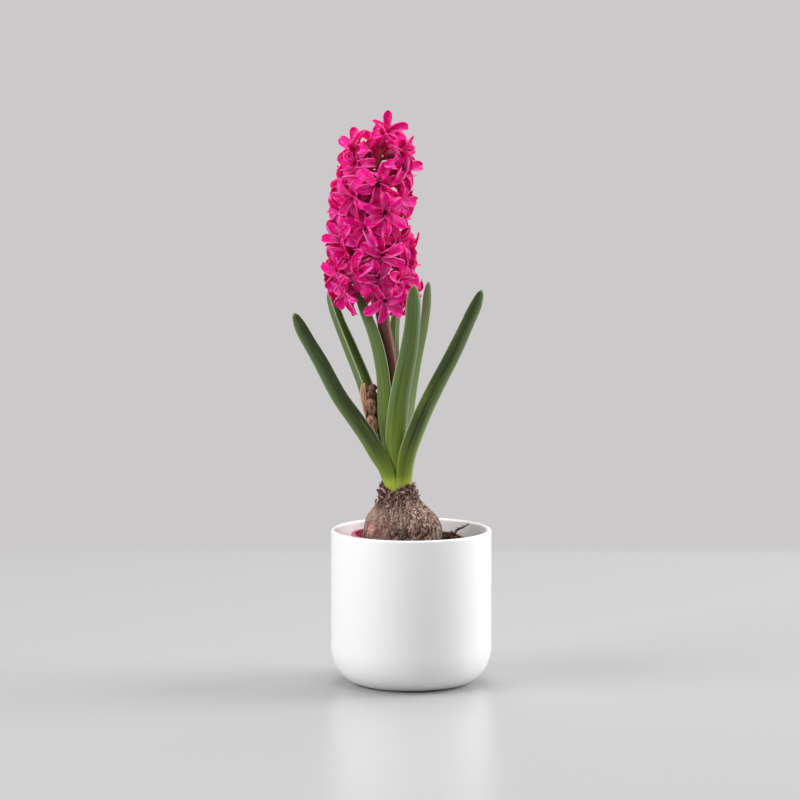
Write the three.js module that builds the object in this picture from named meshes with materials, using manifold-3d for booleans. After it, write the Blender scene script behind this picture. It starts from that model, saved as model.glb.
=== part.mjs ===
// A potted hyacinth in flower: a bulb half out of its potting mix, seven strap leaves round a flower stalk
// with a dense head of starry florets, and a withered second spike. The bulb grows in a nursery pot, which
// stands loose inside a white pot with a rounded foot.
// Millimetres, +Z up. The origin is the centre of the white pot's base and the viewer stands on the -Y side.
// An azimuth is in degrees round +Z from +X, so 270 faces the viewer.
import * as THREE from "three";
import { mergeVertices } from "three/addons/utils/BufferGeometryUtils.js";
import Module from "manifold-3d";

const wasm = await Module();
wasm.setup();

const GAP = 0.3; // clearance kept between neighbouring pieces
const WELD = 1e-4; // vertices nearer than this are one

// White pot: a straight wall, a round lip and a corner that curves in to a flat foot
const POT = {
  radius: 60,
  height: 116,
  wall: 3.5,
  floor: 6,
  corner: [23, 28], // width and height of the outside corner
  innerCorner: [22, 26],
  cornerSteps: 6,
  lipSteps: 4,
  innerSteps: 4,
  sides: 40,
};

// Nursery pot: a thin tapered cup with a flared rim and drain holes
const NURSERY = {
  centre: [-3, 0],
  topRadius: 43.2,
  bottomRadius: 31,
  height: 101,
  wall: 1.2,
  foot: 2, // width and height of the bevel round the base
  rimOut: 1.6,
  rimHeight: 6,
  holes: 5,
  holeRadius: 4,
  holeCircle: 18,
  holeSides: 8,
  sides: 32,
};
const NURSERY_BASE = POT.floor + GAP;

// Potting mix: its surface lies this high, with crumbs of this height. The crumbs are two waves, given by
// their change of phase for each mm along X and Y and for each ring of points.
const MIX = { surface: 101.5, crumb: 1.3, rings: 4 };
const CRUMB_WAVES = [
  { x: 0.9, y: 0, ring: 1.3 },
  { x: -0.35, y: 0.7, ring: 0 },
];

// Bulb: body, neck and the socket in which the leaves stand
const BULB = {
  centre: [-6.5, 0],
  neckCentre: [-10, 0],
  leanFrom: 112,
  neckTop: 150,
  neckRadius: 13.3,
  socketRadius: 11.9,
  socketFloor: 139.5,
  wrinkle: 0.022, // relief of the wrinkles as a share of the radius
  smoothFrom: 140, // above this height the neck has no wrinkles
  sides: 26,
};
// The waves of the wrinkles: how many go round the bulb, their size and the height in which they turn 1 rad
const WRINKLES = [
  { count: 7, size: 1, twist: 9 },
  { count: 12, size: 0.7, twist: -6 },
];
// The bulb's outline, radius and height, from its base plate to its neck
const BULB_OUTLINE = [
  [9, 83],
  [15, 85.5],
  [22.5, 92],
  [27, 100],
  [28.8, 109],
  [29, 117],
  [28, 123],
  [25.4, 127.5],
  [21.3, 132.8],
  [16.8, 137.8],
  [14, 142.5],
  [13.3, 146],
];
// Papery scales round the neck: each differs from the next by a share of these spreads
const SCALES = {
  count: 11,
  width: 6.4,
  rise: 8,
  thickness: 0.9,
  lowest: 0.7, // height of the lowest one, as a share of the rise
  riseSpread: 0.5,
  footSpread: 2,
  turnSpread: 12,
  lean: 1.6, // how much further out the most curled tip is
  // stations: distance outside the neck, share of the height and share of the width
  stations: [
    [-0.6, 0, 1],
    [0.6, 0.5, 0.85],
    [0.9, 1, 0.25],
  ],
};

// Flower stalk and the axis of the head above it, as points on the centre line
const STALK_RADIUS = 4.4;
const STALK_TOP = 286;
const STALK_LINE = [
  [-10, 0, 139.8],
  [-10, 0, 152],
  [-10.6, 0, 183],
  [-12.1, 0, 205.5],
  [-13.6, 0, 221.3],
  [-15.3, 0, 239.9],
  [-17.5, 0, 254.3],
  [-20.2, 0, 268.2],
  [-22.5, 0, 284.1],
  [-25.5, 0, 302.8],
  [-27.7, 0, 325.1],
  [-28.1, 0, 347.4],
  [-26.6, 0, 369.7],
  [-24.2, 0, 383],
  [-22.6, 0, 398.5],
  [-21.6, 0, 405],
];
const STALK_STEPS = 12;
const STALK_CURVE_SEGMENTS = 5; // of a quarter of the stalk's round section
const NEAREST = 1; // points of the line nearer than this to a cut end are left out
const RACHIS = { bottomRadius: 4.2, topRadius: 1.7, sides: 8, steps: 10, highestFoot: 403 };

// Leaves. A sheath is the part inside the bulb's neck: the radius of its outer face round the stalk,
// its azimuth and half the angle that it wraps. The blade is the centre line above it, and facing is
// the azimuth of its outer face at the bottom, middle and tip.
const SHEATH_THICKNESS = 1.4;
const SHEATH_TOP = 151;
const LEAVES = [
  {
    name: "leaf_1",
    sheath: { radius: 9.7, azimuth: 236, wrap: 37 },
    facing: [240, 246, 254],
    width: 15,
    channel: 3,
    blade: [
      [-18.9, -10, 163.9],
      [-23.7, -12, 174.1],
      [-30.5, -15, 185.6],
      [-39, -19, 198.5],
      [-52.5, -26, 218.8],
      [-66.8, -34, 245.7],
      [-79.9, -41, 268.3],
      [-86, -44, 281],
    ],
  },
  {
    name: "leaf_2",
    sheath: { radius: 9.7, azimuth: 140, wrap: 33 },
    facing: [142, 148, 152],
    width: 14,
    channel: 3.6,
    blade: [
      [-20.4, 9, 168],
      [-28.6, 14, 196.3],
      [-36.3, 20, 222.9],
      [-46.3, 25, 247.7],
      [-56.1, 29, 271.6],
      [-62.7, 31, 291.3],
    ],
  },
  {
    name: "leaf_3",
    sheath: { radius: 6.2, azimuth: 226, wrap: 56 },
    facing: [222, 224, 224],
    width: 14,
    channel: 3.2,
    blade: [
      [-14.9, -4.3, 166],
      [-17.7, -6.2, 183.1],
      [-20.3, -8, 198.8],
      [-20.8, -8.5, 211.6],
      [-22, -8, 232.2],
      [-27.2, -6, 257],
      [-35, -3, 278.6],
      [-41.1, -1, 294.2],
    ],
  },
  {
    name: "leaf_4",
    sheath: { radius: 6.2, azimuth: 75, wrap: 52 },
    facing: [75, 68, 60],
    width: 12.5,
    channel: 3,
    blade: [
      [-9.9, 8, 181.9],
      [-11.4, 14, 211.5],
      [-12.6, 22, 246],
      [-11.9, 29, 262],
      [-9.8, 37, 281],
      [-7.7, 42, 293.5],
    ],
  },
  {
    name: "leaf_5",
    sheath: { radius: 7.95, azimuth: 286, wrap: 42 },
    facing: [286, 290, 294],
    width: 14.5,
    channel: 3,
    blade: [
      [-8.6, -8.9, 165],
      [-10.2, -11, 178],
      [-10.6, -12.2, 187],
      [-9.3, -14, 204.6],
      [-7.3, -16.5, 220.6],
      [-4.3, -19.5, 236.6],
      [-1.2, -23.5, 253],
      [0.9, -27.5, 269],
      [1.9, -31, 284.9],
      [1.9, -33, 302.5],
    ],
  },
  {
    name: "leaf_6",
    sheath: { radius: 7.95, azimuth: 20, wrap: 42 },
    facing: [22, 28, 34],
    width: 12,
    channel: 3.4,
    blade: [
      [-2.2, 5, 170],
      [-0.9, 7, 191],
      [1, 9, 212],
      [5, 12, 238.8],
      [8, 14, 254.5],
      [10.4, 16, 267],
      [12.2, 18, 280.6],
      [13.2, 19, 300.4],
    ],
  },
  {
    name: "leaf_7",
    sheath: { radius: 11.45, azimuth: 301, wrap: 39 },
    facing: [302, 300, 296],
    width: 15,
    channel: 3.4,
    blade: [
      [-4.6, -11.4, 165.3],
      [-2.6, -13.2, 175.8],
      [0.6, -14.6, 185.4],
      [8.4, -16.6, 205.4],
      [17, -18.4, 223.7],
      [31.5, -21, 251.2],
      [43.3, -23.6, 276.5],
      [48.5, -24.6, 288],
      [51.9, -25.4, 298.1],
    ],
  },
];
// Blade width, channel depth and thickness along a leaf, as shares, from the sheath to the tip
const TAPER = [
  [0, 0.9],
  [0.1, 1],
  [0.35, 0.95],
  [0.7, 0.82],
  [0.85, 0.7],
  [0.93, 0.52],
  [0.975, 0.33],
  [1, 0.14],
];
const SECTION_SHARES = [-1, -0.5, 0, 0.5, 1]; // places across a leaf's section, from margin to margin
const BLADE_STATIONS = [0.07, 0.16, 0.26, 0.37, 0.48, 0.59, 0.7, 0.79, 0.87, 0.93, 0.97, 1];
const BLADE_THICKNESS = 2.2;
const TIP_THICKNESS = 0.9;
const MARGIN_THICKNESS = 0.8;
const SHEATH_LEAD = 6; // straight length at the top of the sheath that a blade's curve starts with
const SHEATH_BLEND = 0.16; // share of the blade in which its section grows out of the sheath's

// Florets. Seen from the front, each is the height of its mouth, its azimuth, its pitch above the
// horizontal and the distance of its mouth from the stalk's axis.
const FRONT_FLORETS = [
  [292, 275, -12, 23],
  [291, 312, -16, 23],
  [296, 212, -22, 24],
  [304, 308, -4, 24],
  [311, 243, -6, 25],
  [309, 203, -8, 29],
  [313, 341, -4, 22],
  [324, 284, 0, 25],
  [331, 318, 2, 22],
  [334, 217, 0, 28],
  [342, 257, 0, 25],
  [346, 345, 4, 22],
  [355, 289, 4, 25],
  [356, 193, 6, 25],
  [366, 230, 8, 24],
  [364, 322, 8, 21],
  [375, 274, 10, 23],
  [376, 205, 14, 24],
  [387, 316, 16, 19],
  [389, 229, 18, 22],
  [400, 203, 34, 20],
  [403, 322, 32, 16],
  [414.5, 282, 54, 14],
];
// The rest stand on a spiral round the stalk, where the room to the nearest mouth is greatest
const SPIRAL = {
  from: 292,
  to: 404,
  start: 96, // azimuth of the first place
  turn: 137.508, // from each place to the next
  rise: 0.9,
  room: 15, // least distance between mouths
  pitch: -14, // at the bottom of the head
  pitchRise: 40,
  pitchSpread: 8,
  reach: 23,
  reachSpread: 3,
  reachFall: 6,
};
const GOLDEN = 0.618034; // share of a turn that spreads a row of values evenly

// One floret: a swollen tube on a thin stalk and six lobes that spread and curl back
const LOBES = 6;
const FLORET = {
  stalkRadius: 1,
  bulge: [2.9, 9], // radius of the tube at its swelling, and how far that is behind the mouth
  mouthRadius: 3.3,
  rim: 0.4, // height of the mouth's inner edge above its outer one
  throatDepth: 6,
  lobeThickness: 0.8,
  curl: [-4, 12], // how much further the inner and outer three lobes tilt on the most open floret
  roll: 60, // how far the florets turn on their axes, one against another
  // lobe stations: length from the mouth, half width, channel depth and angle from the floret's axis
  lobe: [
    [5.2, 3.2, 0.9, 38],
    [12, 2.7, 0, 66],
    [16.4, 0, 0, 96],
  ],
};

// Withered second spike: a thin stalk with shrivelled buds crowded at its top
const SPIKE_LINE = [
  [-18.8, -0.9, 139.8],
  [-18.8, -0.9, 151],
  [-20.4, 1.4, 168],
  [-23.6, 4.6, 188.3],
  [-27.6, 6.4, 204],
  [-31, 7.6, 219],
];
const SPIKE_RADIUS = 1.4;
const SPIKE_STEPS = 7;
const SPIKE_CURVE_SEGMENTS = 3;
// Buds: how far each is below the stalk's top, its offset from the stalk, the azimuth of that offset,
// its radius and its length
const BUDS = [
  { drop: 29, out: 2.2, turn: 250, radius: 3.4, length: 13 },
  { drop: 23, out: 3, turn: 90, radius: 3.4, length: 13 },
  { drop: 19, out: 3, turn: 300, radius: 3.8, length: 15 },
  { drop: 15, out: 3.6, turn: 185, radius: 3.2, length: 14 },
  { drop: 8, out: 3.2, turn: 30, radius: 3.4, length: 13 },
  { drop: 5, out: 2.8, turn: 270, radius: 3.4, length: 12 },
  { drop: 3, out: 3.2, turn: 165, radius: 2.8, length: 15 },
];
const BUD_SHAPE = { flatness: 0.85, lean: -12, sides: 6, rings: 4 };

// Dry root: a dark strand that curls up out of the potting mix beside the bulb
const ROOT_RADIUS = 0.6;
const ROOT_STEPS = 22;
const ROOT_CURVE_SEGMENTS = 2;
const ROOT_HOLE = { topRadius: 2.4, bottomRadius: 1.2, height: 24, sides: 6 };
const ROOT_LINE = [
  [29.5, -5, 96],
  [29.5, -5, 103],
  [29.5, -5, 110.2],
  [27.9, -5, 112.2],
  [29.7, -4, 113.8],
  [32.3, -4, 112.9],
  [34.3, -2, 115.5],
  [39.2, 0, 117.4],
  [43.2, 2, 119.5],
];

// Colour and roughness of each material
const FINISHES = {
  ceramic: [0xf2f2f2, 0.35],
  plastic: [0xb8336a, 0.4],
  mix: [0x2b1d18, 0.95],
  bulbSkin: [0x7d5f55, 0.75],
  leaf: [0x4c6b35, 0.45],
  stalk: [0x6b4a38, 0.5],
  petal: [0xd6116f, 0.5],
  dryBud: [0x93684a, 0.8],
  dryRoot: [0x3a241c, 0.8],
};

const radians = THREE.MathUtils.degToRad;
const UP = new THREE.Vector3(0, 0, 1);

// The horizontal unit vector of an azimuth.
function heading(azimuth) {
  return new THREE.Vector3(Math.cos(radians(azimuth)), Math.sin(radians(azimuth)), 0);
}

// The value at x of a list of [x, value] stops, straight between them.
function between(stops, x) {
  const next = stops.findIndex((stop) => stop[0] >= x);
  if (next < 0) return stops[stops.length - 1][1];
  if (next === 0) return stops[0][1];
  const [x0, v0] = stops[next - 1];
  const [x1, v1] = stops[next];
  return v0 + ((v1 - v0) * (x - x0)) / (x1 - x0);
}

function curveOf(points) {
  return new THREE.CatmullRomCurve3(points.map((p) => new THREE.Vector3(...p)));
}

// The point of a rising line of [x, y, z] points at a height.
function pointAtHeight(line, z) {
  const x = between(line.map((p) => [p[2], p[0]]), z);
  const y = between(line.map((p) => [p[2], p[1]]), z);
  return new THREE.Vector3(x, y, z);
}

// A closed geometry from vertices and triangles, turned so that its faces point out.
function closedGeometry(vertices, triangles) {
  let volume = 0;
  const cross = new THREE.Vector3();
  for (const [a, b, c] of triangles) {
    volume += vertices[a].dot(cross.crossVectors(vertices[b], vertices[c]));
  }
  const index = triangles.flatMap(([a, b, c]) => (volume < 0 ? [a, c, b] : [a, b, c]));
  const positions = vertices.flatMap((v) => [v.x, v.y, v.z]);
  return new THREE.BufferGeometry()
    .setAttribute("position", new THREE.Float32BufferAttribute(positions, 3))
    .setIndex(index);
}

// The two triangles of a quad, cut along its shorter diagonal, which cuts both faces of a blade alike.
function quad(vertices, a, b, c, d) {
  const short = vertices[a].distanceTo(vertices[c]) <= vertices[b].distanceTo(vertices[d]);
  return short ? [[a, b, c], [a, c, d]] : [[a, b, d], [b, c, d]];
}

// A closed body through rings of equal, even counts of points, its ends closed by strips across.
function loft(rings) {
  const count = rings[0].length;
  const vertices = rings.flat();
  const triangles = [];
  for (let r = 0; r + 1 < rings.length; r++) {
    for (let i = 0; i < count; i++) {
      const j = (i + 1) % count;
      const low = r * count;
      const high = low + count;
      triangles.push(...quad(vertices, low + i, low + j, high + j, high + i));
    }
  }
  const last = (rings.length - 1) * count;
  for (let i = 0; i < count / 2 - 1; i++) {
    const ends = [i, count - 1 - i, count - 2 - i, i + 1];
    triangles.push(...quad(vertices, ...ends));
    triangles.push(...quad(vertices, ...ends.reverse().map((v) => v + last)));
  }
  return closedGeometry(vertices, triangles);
}

// A ring of points round a centre, square to an axis.
function ring(centre, axis, radius, sides) {
  const turn = new THREE.Quaternion().setFromUnitVectors(UP, axis);
  return Array.from({ length: sides }, (_, i) =>
    heading((360 * i) / sides).multiplyScalar(radius).applyQuaternion(turn).add(centre),
  );
}

// A solid of revolution about +Z from a profile of [radius, height] points.
function turned(profile, sides) {
  const points = profile.map(([r, z]) => new THREE.Vector2(r, z));
  const lathe = new THREE.LatheGeometry(points, sides);
  lathe.rotateX(Math.PI / 2);
  return lathe;
}

// Points on an ellipse about a centre, from one angle to another.
function arc(centre, size, from, to, steps) {
  return Array.from({ length: steps + 1 }, (_, i) => {
    const angle = radians(from + ((to - from) * i) / steps);
    return [centre[0] + size[0] * Math.cos(angle), centre[1] + size[1] * Math.sin(angle)];
  });
}

// A manifold solid from a closed geometry.
function solidOf(geometry) {
  const bare = geometry.clone();
  bare.deleteAttribute("normal");
  bare.deleteAttribute("uv");
  const merged = mergeVertices(bare, WELD);
  const index = merged.index.array;
  const triVerts = [];
  for (let i = 0; i < index.length; i += 3) {
    const [a, b, c] = index.subarray(i, i + 3);
    if (a !== b && b !== c && c !== a) triVerts.push(a, b, c);
  }
  return new wasm.Manifold(
    new wasm.Mesh({
      numProp: 3,
      vertProperties: merged.attributes.position.array,
      triVerts: new Uint32Array(triVerts),
    }),
  );
}

// A geometry from a manifold solid.
function geometryOf(solid) {
  const mesh = solid.getMesh();
  return new THREE.BufferGeometry()
    .setAttribute("position", new THREE.BufferAttribute(mesh.vertProperties, 3))
    .setIndex(new THREE.BufferAttribute(mesh.triVerts, 1));
}

function fuse(geometries) {
  return geometries.map(solidOf).reduce((whole, part) => whole.add(part));
}

// White pot: foot, corner, wall, lip and inside, turned in one piece.
function potGeometry() {
  const { radius, height, wall, floor, corner, innerCorner, cornerSteps, lipSteps, innerSteps } = POT;
  const inside = radius - wall;
  const lip = wall / 2;
  return turned(
    [
      [0, 0],
      ...arc([radius - corner[0], corner[1]], corner, -90, 0, cornerSteps),
      ...arc([radius - lip, height - lip], [lip, lip], 0, 180, lipSteps),
      ...arc([inside - innerCorner[0], floor + innerCorner[1]], innerCorner, 0, -90, innerSteps),
      [0, floor],
    ],
    POT.sides,
  );
}

// The nursery pot's inner radius at a height above its base.
function nurseryBore(height) {
  const { topRadius, bottomRadius, wall } = NURSERY;
  return bottomRadius - wall + ((topRadius - bottomRadius) * height) / NURSERY.height;
}

// Nursery pot: a tapered cup with a flared rim, drilled through its floor.
function nurseryGeometry() {
  const { topRadius, bottomRadius, height, wall, foot, rimOut, rimHeight, sides } = NURSERY;
  const cup = turned(
    [
      [0, 0],
      [bottomRadius - foot, 0],
      [bottomRadius, foot],
      [topRadius - wall / 2, height - rimHeight],
      [topRadius + rimOut, height - rimHeight + rimOut],
      [topRadius + rimOut, height],
      [nurseryBore(height), height],
      [nurseryBore(wall), wall],
      [0, wall],
    ],
    sides,
  );
  const { holes, holeRadius, holeCircle, holeSides } = NURSERY;
  const through = 4 * wall;
  let solid = solidOf(cup);
  for (let i = 0; i < holes; i++) {
    const drill = new THREE.CylinderGeometry(holeRadius, holeRadius, through, holeSides);
    drill.rotateX(Math.PI / 2);
    const at = heading((360 * i) / holes).multiplyScalar(holeCircle);
    drill.translate(at.x, at.y, 0);
    solid = solid.subtract(solidOf(drill));
  }
  const geometry = geometryOf(solid);
  geometry.translate(...NURSERY.centre, NURSERY_BASE);
  return geometry;
}

// Where the bulb's axis is at a height: upright below, leaning towards the neck above.
function bulbAxis(z) {
  const share = THREE.MathUtils.smoothstep(z, BULB.leanFrom, BULB.neckTop);
  return THREE.MathUtils.lerp(BULB.centre[0], BULB.neckCentre[0], share);
}

// A ring round the bulb's axis, with wrinkles of a share of its radius.
function bulbRing(radius, z, wrinkle) {
  return Array.from({ length: BULB.sides }, (_, i) => {
    const angle = (2 * Math.PI * i) / BULB.sides;
    const waves = WRINKLES.map(({ count, size, twist }) => size * Math.sin(count * angle + z / twist));
    const r = radius * (1 + wrinkle * (waves[0] + waves[1]));
    return new THREE.Vector3(bulbAxis(z) + r * Math.cos(angle), r * Math.sin(angle), z);
  });
}

// One ragged papery scale, curling away from the neck at an azimuth.
function scale(azimuth, share) {
  const out = heading(azimuth);
  const across = heading(azimuth + 90);
  const { width, rise, thickness, lowest, riseSpread, footSpread, lean } = SCALES;
  const foot = BULB.neckTop - rise + footSpread * share;
  const tall = rise * (lowest + riseSpread * share);
  const rings = SCALES.stations.map(([offset, up, narrow]) => {
    const curl = up === 1 ? lean * share : 0;
    const centre = out.clone().multiplyScalar(BULB.neckRadius + offset + curl);
    centre.add(new THREE.Vector3(...BULB.neckCentre, foot + tall * up));
    const half = across.clone().multiplyScalar((width * narrow) / 2);
    const thick = out.clone().multiplyScalar(thickness / 2);
    return [
      centre.clone().sub(half).sub(thick),
      centre.clone().add(half).sub(thick),
      centre.clone().add(half).add(thick),
      centre.clone().sub(half).add(thick),
    ];
  });
  return loft(rings);
}

// Bulb: a wrinkled onion shape with a socket in its neck and scales round the top of it.
function bulbGeometry() {
  const rings = BULB_OUTLINE.map(([r, z]) => bulbRing(r, z, z < BULB.smoothFrom ? BULB.wrinkle : 0));
  rings.push(bulbRing(BULB.neckRadius, BULB.neckTop, 0));
  let solid = solidOf(loft(rings));
  for (let i = 0; i < SCALES.count; i++) {
    const share = (i * GOLDEN) % 1;
    const azimuth = (360 * i) / SCALES.count + SCALES.turnSpread * share;
    solid = solid.add(solidOf(scale(azimuth, share)));
  }
  const depth = BULB.neckTop + SCALES.rise - BULB.socketFloor;
  const socket = new THREE.CylinderGeometry(BULB.socketRadius, BULB.socketRadius, depth, BULB.sides);
  socket.rotateX(Math.PI / 2);
  socket.translate(...BULB.neckCentre, BULB.socketFloor + depth / 2);
  return geometryOf(solid.subtract(solidOf(socket)));
}

// Potting mix: fills the nursery pot to a crumbly surface, with a bed for the bulb and a hole for the root.
function mixGeometry() {
  const bottom = NURSERY.wall + GAP;
  const top = MIX.surface - NURSERY_BASE;
  const floorRing = Array.from({ length: NURSERY.sides }, (_, i) =>
    heading((360 * i) / NURSERY.sides).multiplyScalar(nurseryBore(bottom) - GAP).setZ(bottom),
  );
  const vertices = [new THREE.Vector3(0, 0, bottom), ...floorRing];
  const triangles = [];
  const edge = nurseryBore(top) - 2 * GAP;
  for (let k = MIX.rings; k > 0; k--) {
    for (let i = 0; i < NURSERY.sides; i++) {
      const at = heading((360 * i) / NURSERY.sides).multiplyScalar((edge * k) / MIX.rings);
      const waves = CRUMB_WAVES.map((w) => Math.sin(w.x * at.x + w.y * at.y + w.ring * k));
      at.z = top + (k === MIX.rings ? -MIX.crumb : (MIX.crumb / 2) * (waves[0] + waves[1]));
      vertices.push(at);
    }
  }
  vertices.push(new THREE.Vector3(0, 0, top));
  const centre = vertices.length - 1;
  for (let i = 0; i < NURSERY.sides; i++) {
    const j = (i + 1) % NURSERY.sides;
    triangles.push([0, 1 + j, 1 + i]);
    for (let k = 0; k < MIX.rings; k++) {
      const low = 1 + k * NURSERY.sides;
      const high = low + NURSERY.sides;
      triangles.push(...quad(vertices, low + i, low + j, high + j, high + i));
    }
    const inner = 1 + MIX.rings * NURSERY.sides;
    triangles.push([inner + i, inner + j, centre]);
  }
  const heap = closedGeometry(vertices, triangles);
  heap.translate(...NURSERY.centre, NURSERY_BASE);
  const clearance = 2 * GAP;
  const wrinkled = 1 + 2 * BULB.wrinkle;
  const bedRings = BULB_OUTLINE.map(([r, z]) => bulbRing(r * wrinkled + clearance, z, 0));
  bedRings[0].forEach((p) => (p.z -= clearance));
  const { topRadius, bottomRadius, height, sides } = ROOT_HOLE;
  const hole = new THREE.CylinderGeometry(topRadius, bottomRadius, height, sides);
  hole.rotateX(Math.PI / 2);
  const [rootX, rootY, rootZ] = ROOT_LINE[0];
  hole.translate(rootX, rootY, rootZ - clearance + height / 2);
  return geometryOf(solidOf(heap).subtract(solidOf(loft(bedRings))).subtract(solidOf(hole)));
}

// A round rod along a curve.
function rod(curve, radius, steps, curveSegments) {
  const shape = new THREE.Shape().absarc(0, 0, radius, 0, 2 * Math.PI);
  return new THREE.ExtrudeGeometry(shape, { steps, curveSegments, extrudePath: curve });
}

// The section of a leaf: an arc of a width and channel depth, thick at the keel and thin at the margins.
function leafSection({ centre, outward, across, width, channel, keel, margin }) {
  const half = width / 2;
  const radius = (half * half + channel * channel) / (2 * channel);
  const reach = 2 * Math.atan2(channel, half);
  const at = (share, depth) => {
    const angle = reach * share;
    const x = (radius - depth) * Math.sin(angle);
    const y = (radius - depth) * Math.cos(angle) - radius + channel / 2;
    return centre.clone().addScaledVector(across, x).addScaledVector(outward, y);
  };
  const outer = SECTION_SHARES.map((s) => at(s, 0));
  const inner = SECTION_SHARES.map((s) => at(s, keel + (margin - keel) * s * s)).reverse();
  return [...outer, ...inner];
}

// One leaf: a sheath that wraps the stalk inside the bulb's neck, and a channelled blade above it.
function leafGeometry({ sheath, blade, facing, width, channel }) {
  const wrap = radians(sheath.wrap);
  const sheathWidth = 2 * sheath.radius * Math.sin(wrap);
  const sheathChannel = sheath.radius * (1 - Math.cos(wrap));
  const foot = heading(sheath.azimuth).multiplyScalar(sheath.radius - sheathChannel / 2);
  foot.add(new THREE.Vector3(...BULB.neckCentre, 0));
  const sheathPoint = (z) => foot.clone().setZ(z);
  const rings = [BULB.socketFloor + GAP, SHEATH_TOP].map((z) =>
    leafSection({
      centre: sheathPoint(z),
      outward: heading(sheath.azimuth),
      across: heading(sheath.azimuth + 90),
      width: sheathWidth,
      channel: sheathChannel,
      keel: SHEATH_THICKNESS,
      margin: MARGIN_THICKNESS,
    }),
  );
  const line = [sheathPoint(SHEATH_TOP - SHEATH_LEAD), sheathPoint(SHEATH_TOP), ...blade];
  const curve = curveOf(line.map((p) => (p.isVector3 ? p.toArray() : p)));
  const start = SHEATH_LEAD / curve.getLength();
  const turns = facing.map((azimuth, i) => [i / (facing.length - 1), azimuth]);
  for (const station of BLADE_STATIONS) {
    const u = start + (1 - start) * station;
    const along = curve.getTangentAt(u);
    const outward = heading(between(turns, station));
    outward.addScaledVector(along, -outward.dot(along)).normalize();
    const grown = Math.min(1, station / SHEATH_BLEND);
    const taper = between(TAPER, station);
    const keel = THREE.MathUtils.lerp(TIP_THICKNESS, BLADE_THICKNESS, taper);
    rings.push(
      leafSection({
        centre: curve.getPointAt(u),
        outward,
        across: new THREE.Vector3().crossVectors(along, outward),
        width: THREE.MathUtils.lerp(sheathWidth, width * taper, grown),
        channel: THREE.MathUtils.lerp(sheathChannel, channel * taper, grown),
        keel: THREE.MathUtils.lerp(SHEATH_THICKNESS, keel, grown),
        margin: MARGIN_THICKNESS,
      }),
    );
  }
  return loft(rings);
}

// Flower stalk: a round stem from the bulb's socket to the foot of the head.
function stalkGeometry() {
  const end = STALK_TOP - 2 * GAP;
  const line = STALK_LINE.filter((p) => p[2] < end - NEAREST);
  const top = pointAtHeight(STALK_LINE, end).toArray();
  return rod(curveOf([...line, top]), STALK_RADIUS, STALK_STEPS, STALK_CURVE_SEGMENTS);
}

// Rachis: the stalk's continuation inside the head, thinning to its top.
function rachisGeometry() {
  const from = pointAtHeight(STALK_LINE, STALK_TOP);
  const curve = curveOf([from.toArray(), ...STALK_LINE.filter((p) => p[2] > STALK_TOP + NEAREST)]);
  const rings = Array.from({ length: RACHIS.steps + 1 }, (_, i) => {
    const u = i / RACHIS.steps;
    const radius = THREE.MathUtils.lerp(RACHIS.bottomRadius, RACHIS.topRadius, u);
    return ring(curve.getPointAt(u), curve.getTangentAt(u), radius, RACHIS.sides);
  });
  return loft(rings);
}

// Where the mouth of a floret is, and which way it faces.
function mouthOf([height, azimuth, pitch, reach]) {
  const facing = heading(azimuth).multiplyScalar(Math.cos(radians(pitch)));
  facing.z = Math.sin(radians(pitch));
  const foot = pointAtHeight(STALK_LINE, Math.min(height - reach * facing.z, RACHIS.highestFoot));
  return { facing, reach, mouth: foot.addScaledVector(facing, reach) };
}

// The places on the spiral that a floret could take.
function spiralPlaces() {
  const count = Math.floor((SPIRAL.to - SPIRAL.from) / SPIRAL.rise);
  return Array.from({ length: count }, (_, i) => {
    const share = (i * GOLDEN) % 1;
    const climb = i / count;
    const pitch = SPIRAL.pitch + SPIRAL.pitchRise * climb * climb + SPIRAL.pitchSpread * share;
    const reach = SPIRAL.reach + SPIRAL.reachSpread * share - SPIRAL.reachFall * climb * climb;
    return mouthOf([SPIRAL.from + i * SPIRAL.rise, SPIRAL.start + i * SPIRAL.turn, pitch, reach]);
  });
}

// Every floret's place: those seen from the front, then the roomiest places left on the spiral.
function floretPlaces() {
  const places = FRONT_FLORETS.map(mouthOf);
  const spiral = spiralPlaces();
  const room = (place) => Math.min(...places.map((other) => other.mouth.distanceTo(place.mouth)));
  for (;;) {
    const best = spiral.reduce((a, b) => (room(b) > room(a) ? b : a));
    if (room(best) < SPIRAL.room) return places;
    places.push(best);
  }
}

// The corners of a lobe at one station: 6 where it is channelled, 4 where it is flat and 2 at its tip.
function lobeSection({ spine, across, face, halfWidth, channel }) {
  const thick = FLORET.lobeThickness / 2;
  const corner = (side, lift) =>
    spine.clone().addScaledVector(across, side * halfWidth).addScaledVector(face, lift);
  if (!halfWidth) return [corner(0, -thick), corner(0, thick)];
  const outer = [corner(-1, -thick), corner(1, -thick)];
  const inner = [corner(1, thick), corner(-1, thick)];
  if (!channel) return [...outer, ...inner];
  return [outer[0], corner(0, -thick - channel), outer[1], inner[0], corner(0, thick - channel), inner[1]];
}

// The corners of a lobe's three stations, in order, for the lobe at an azimuth and with a further tilt.
function lobeCorners(azimuth, further) {
  const middle = heading(azimuth);
  const across = heading(azimuth + 90);
  const spine = middle.clone().multiplyScalar(FLORET.mouthRadius * Math.cos(Math.PI / LOBES));
  let reached = 0;
  return FLORET.lobe.flatMap(([length, halfWidth, channel, angle]) => {
    const tilt = radians(angle + further);
    const along = middle.clone().multiplyScalar(Math.sin(tilt)).addScaledVector(UP, Math.cos(tilt));
    const face = middle.clone().multiplyScalar(-Math.cos(tilt)).addScaledVector(UP, Math.sin(tilt));
    spine.addScaledVector(along, length - reached);
    reached = length;
    return lobeSection({ spine, across, face, halfWidth, channel });
  });
}

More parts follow.
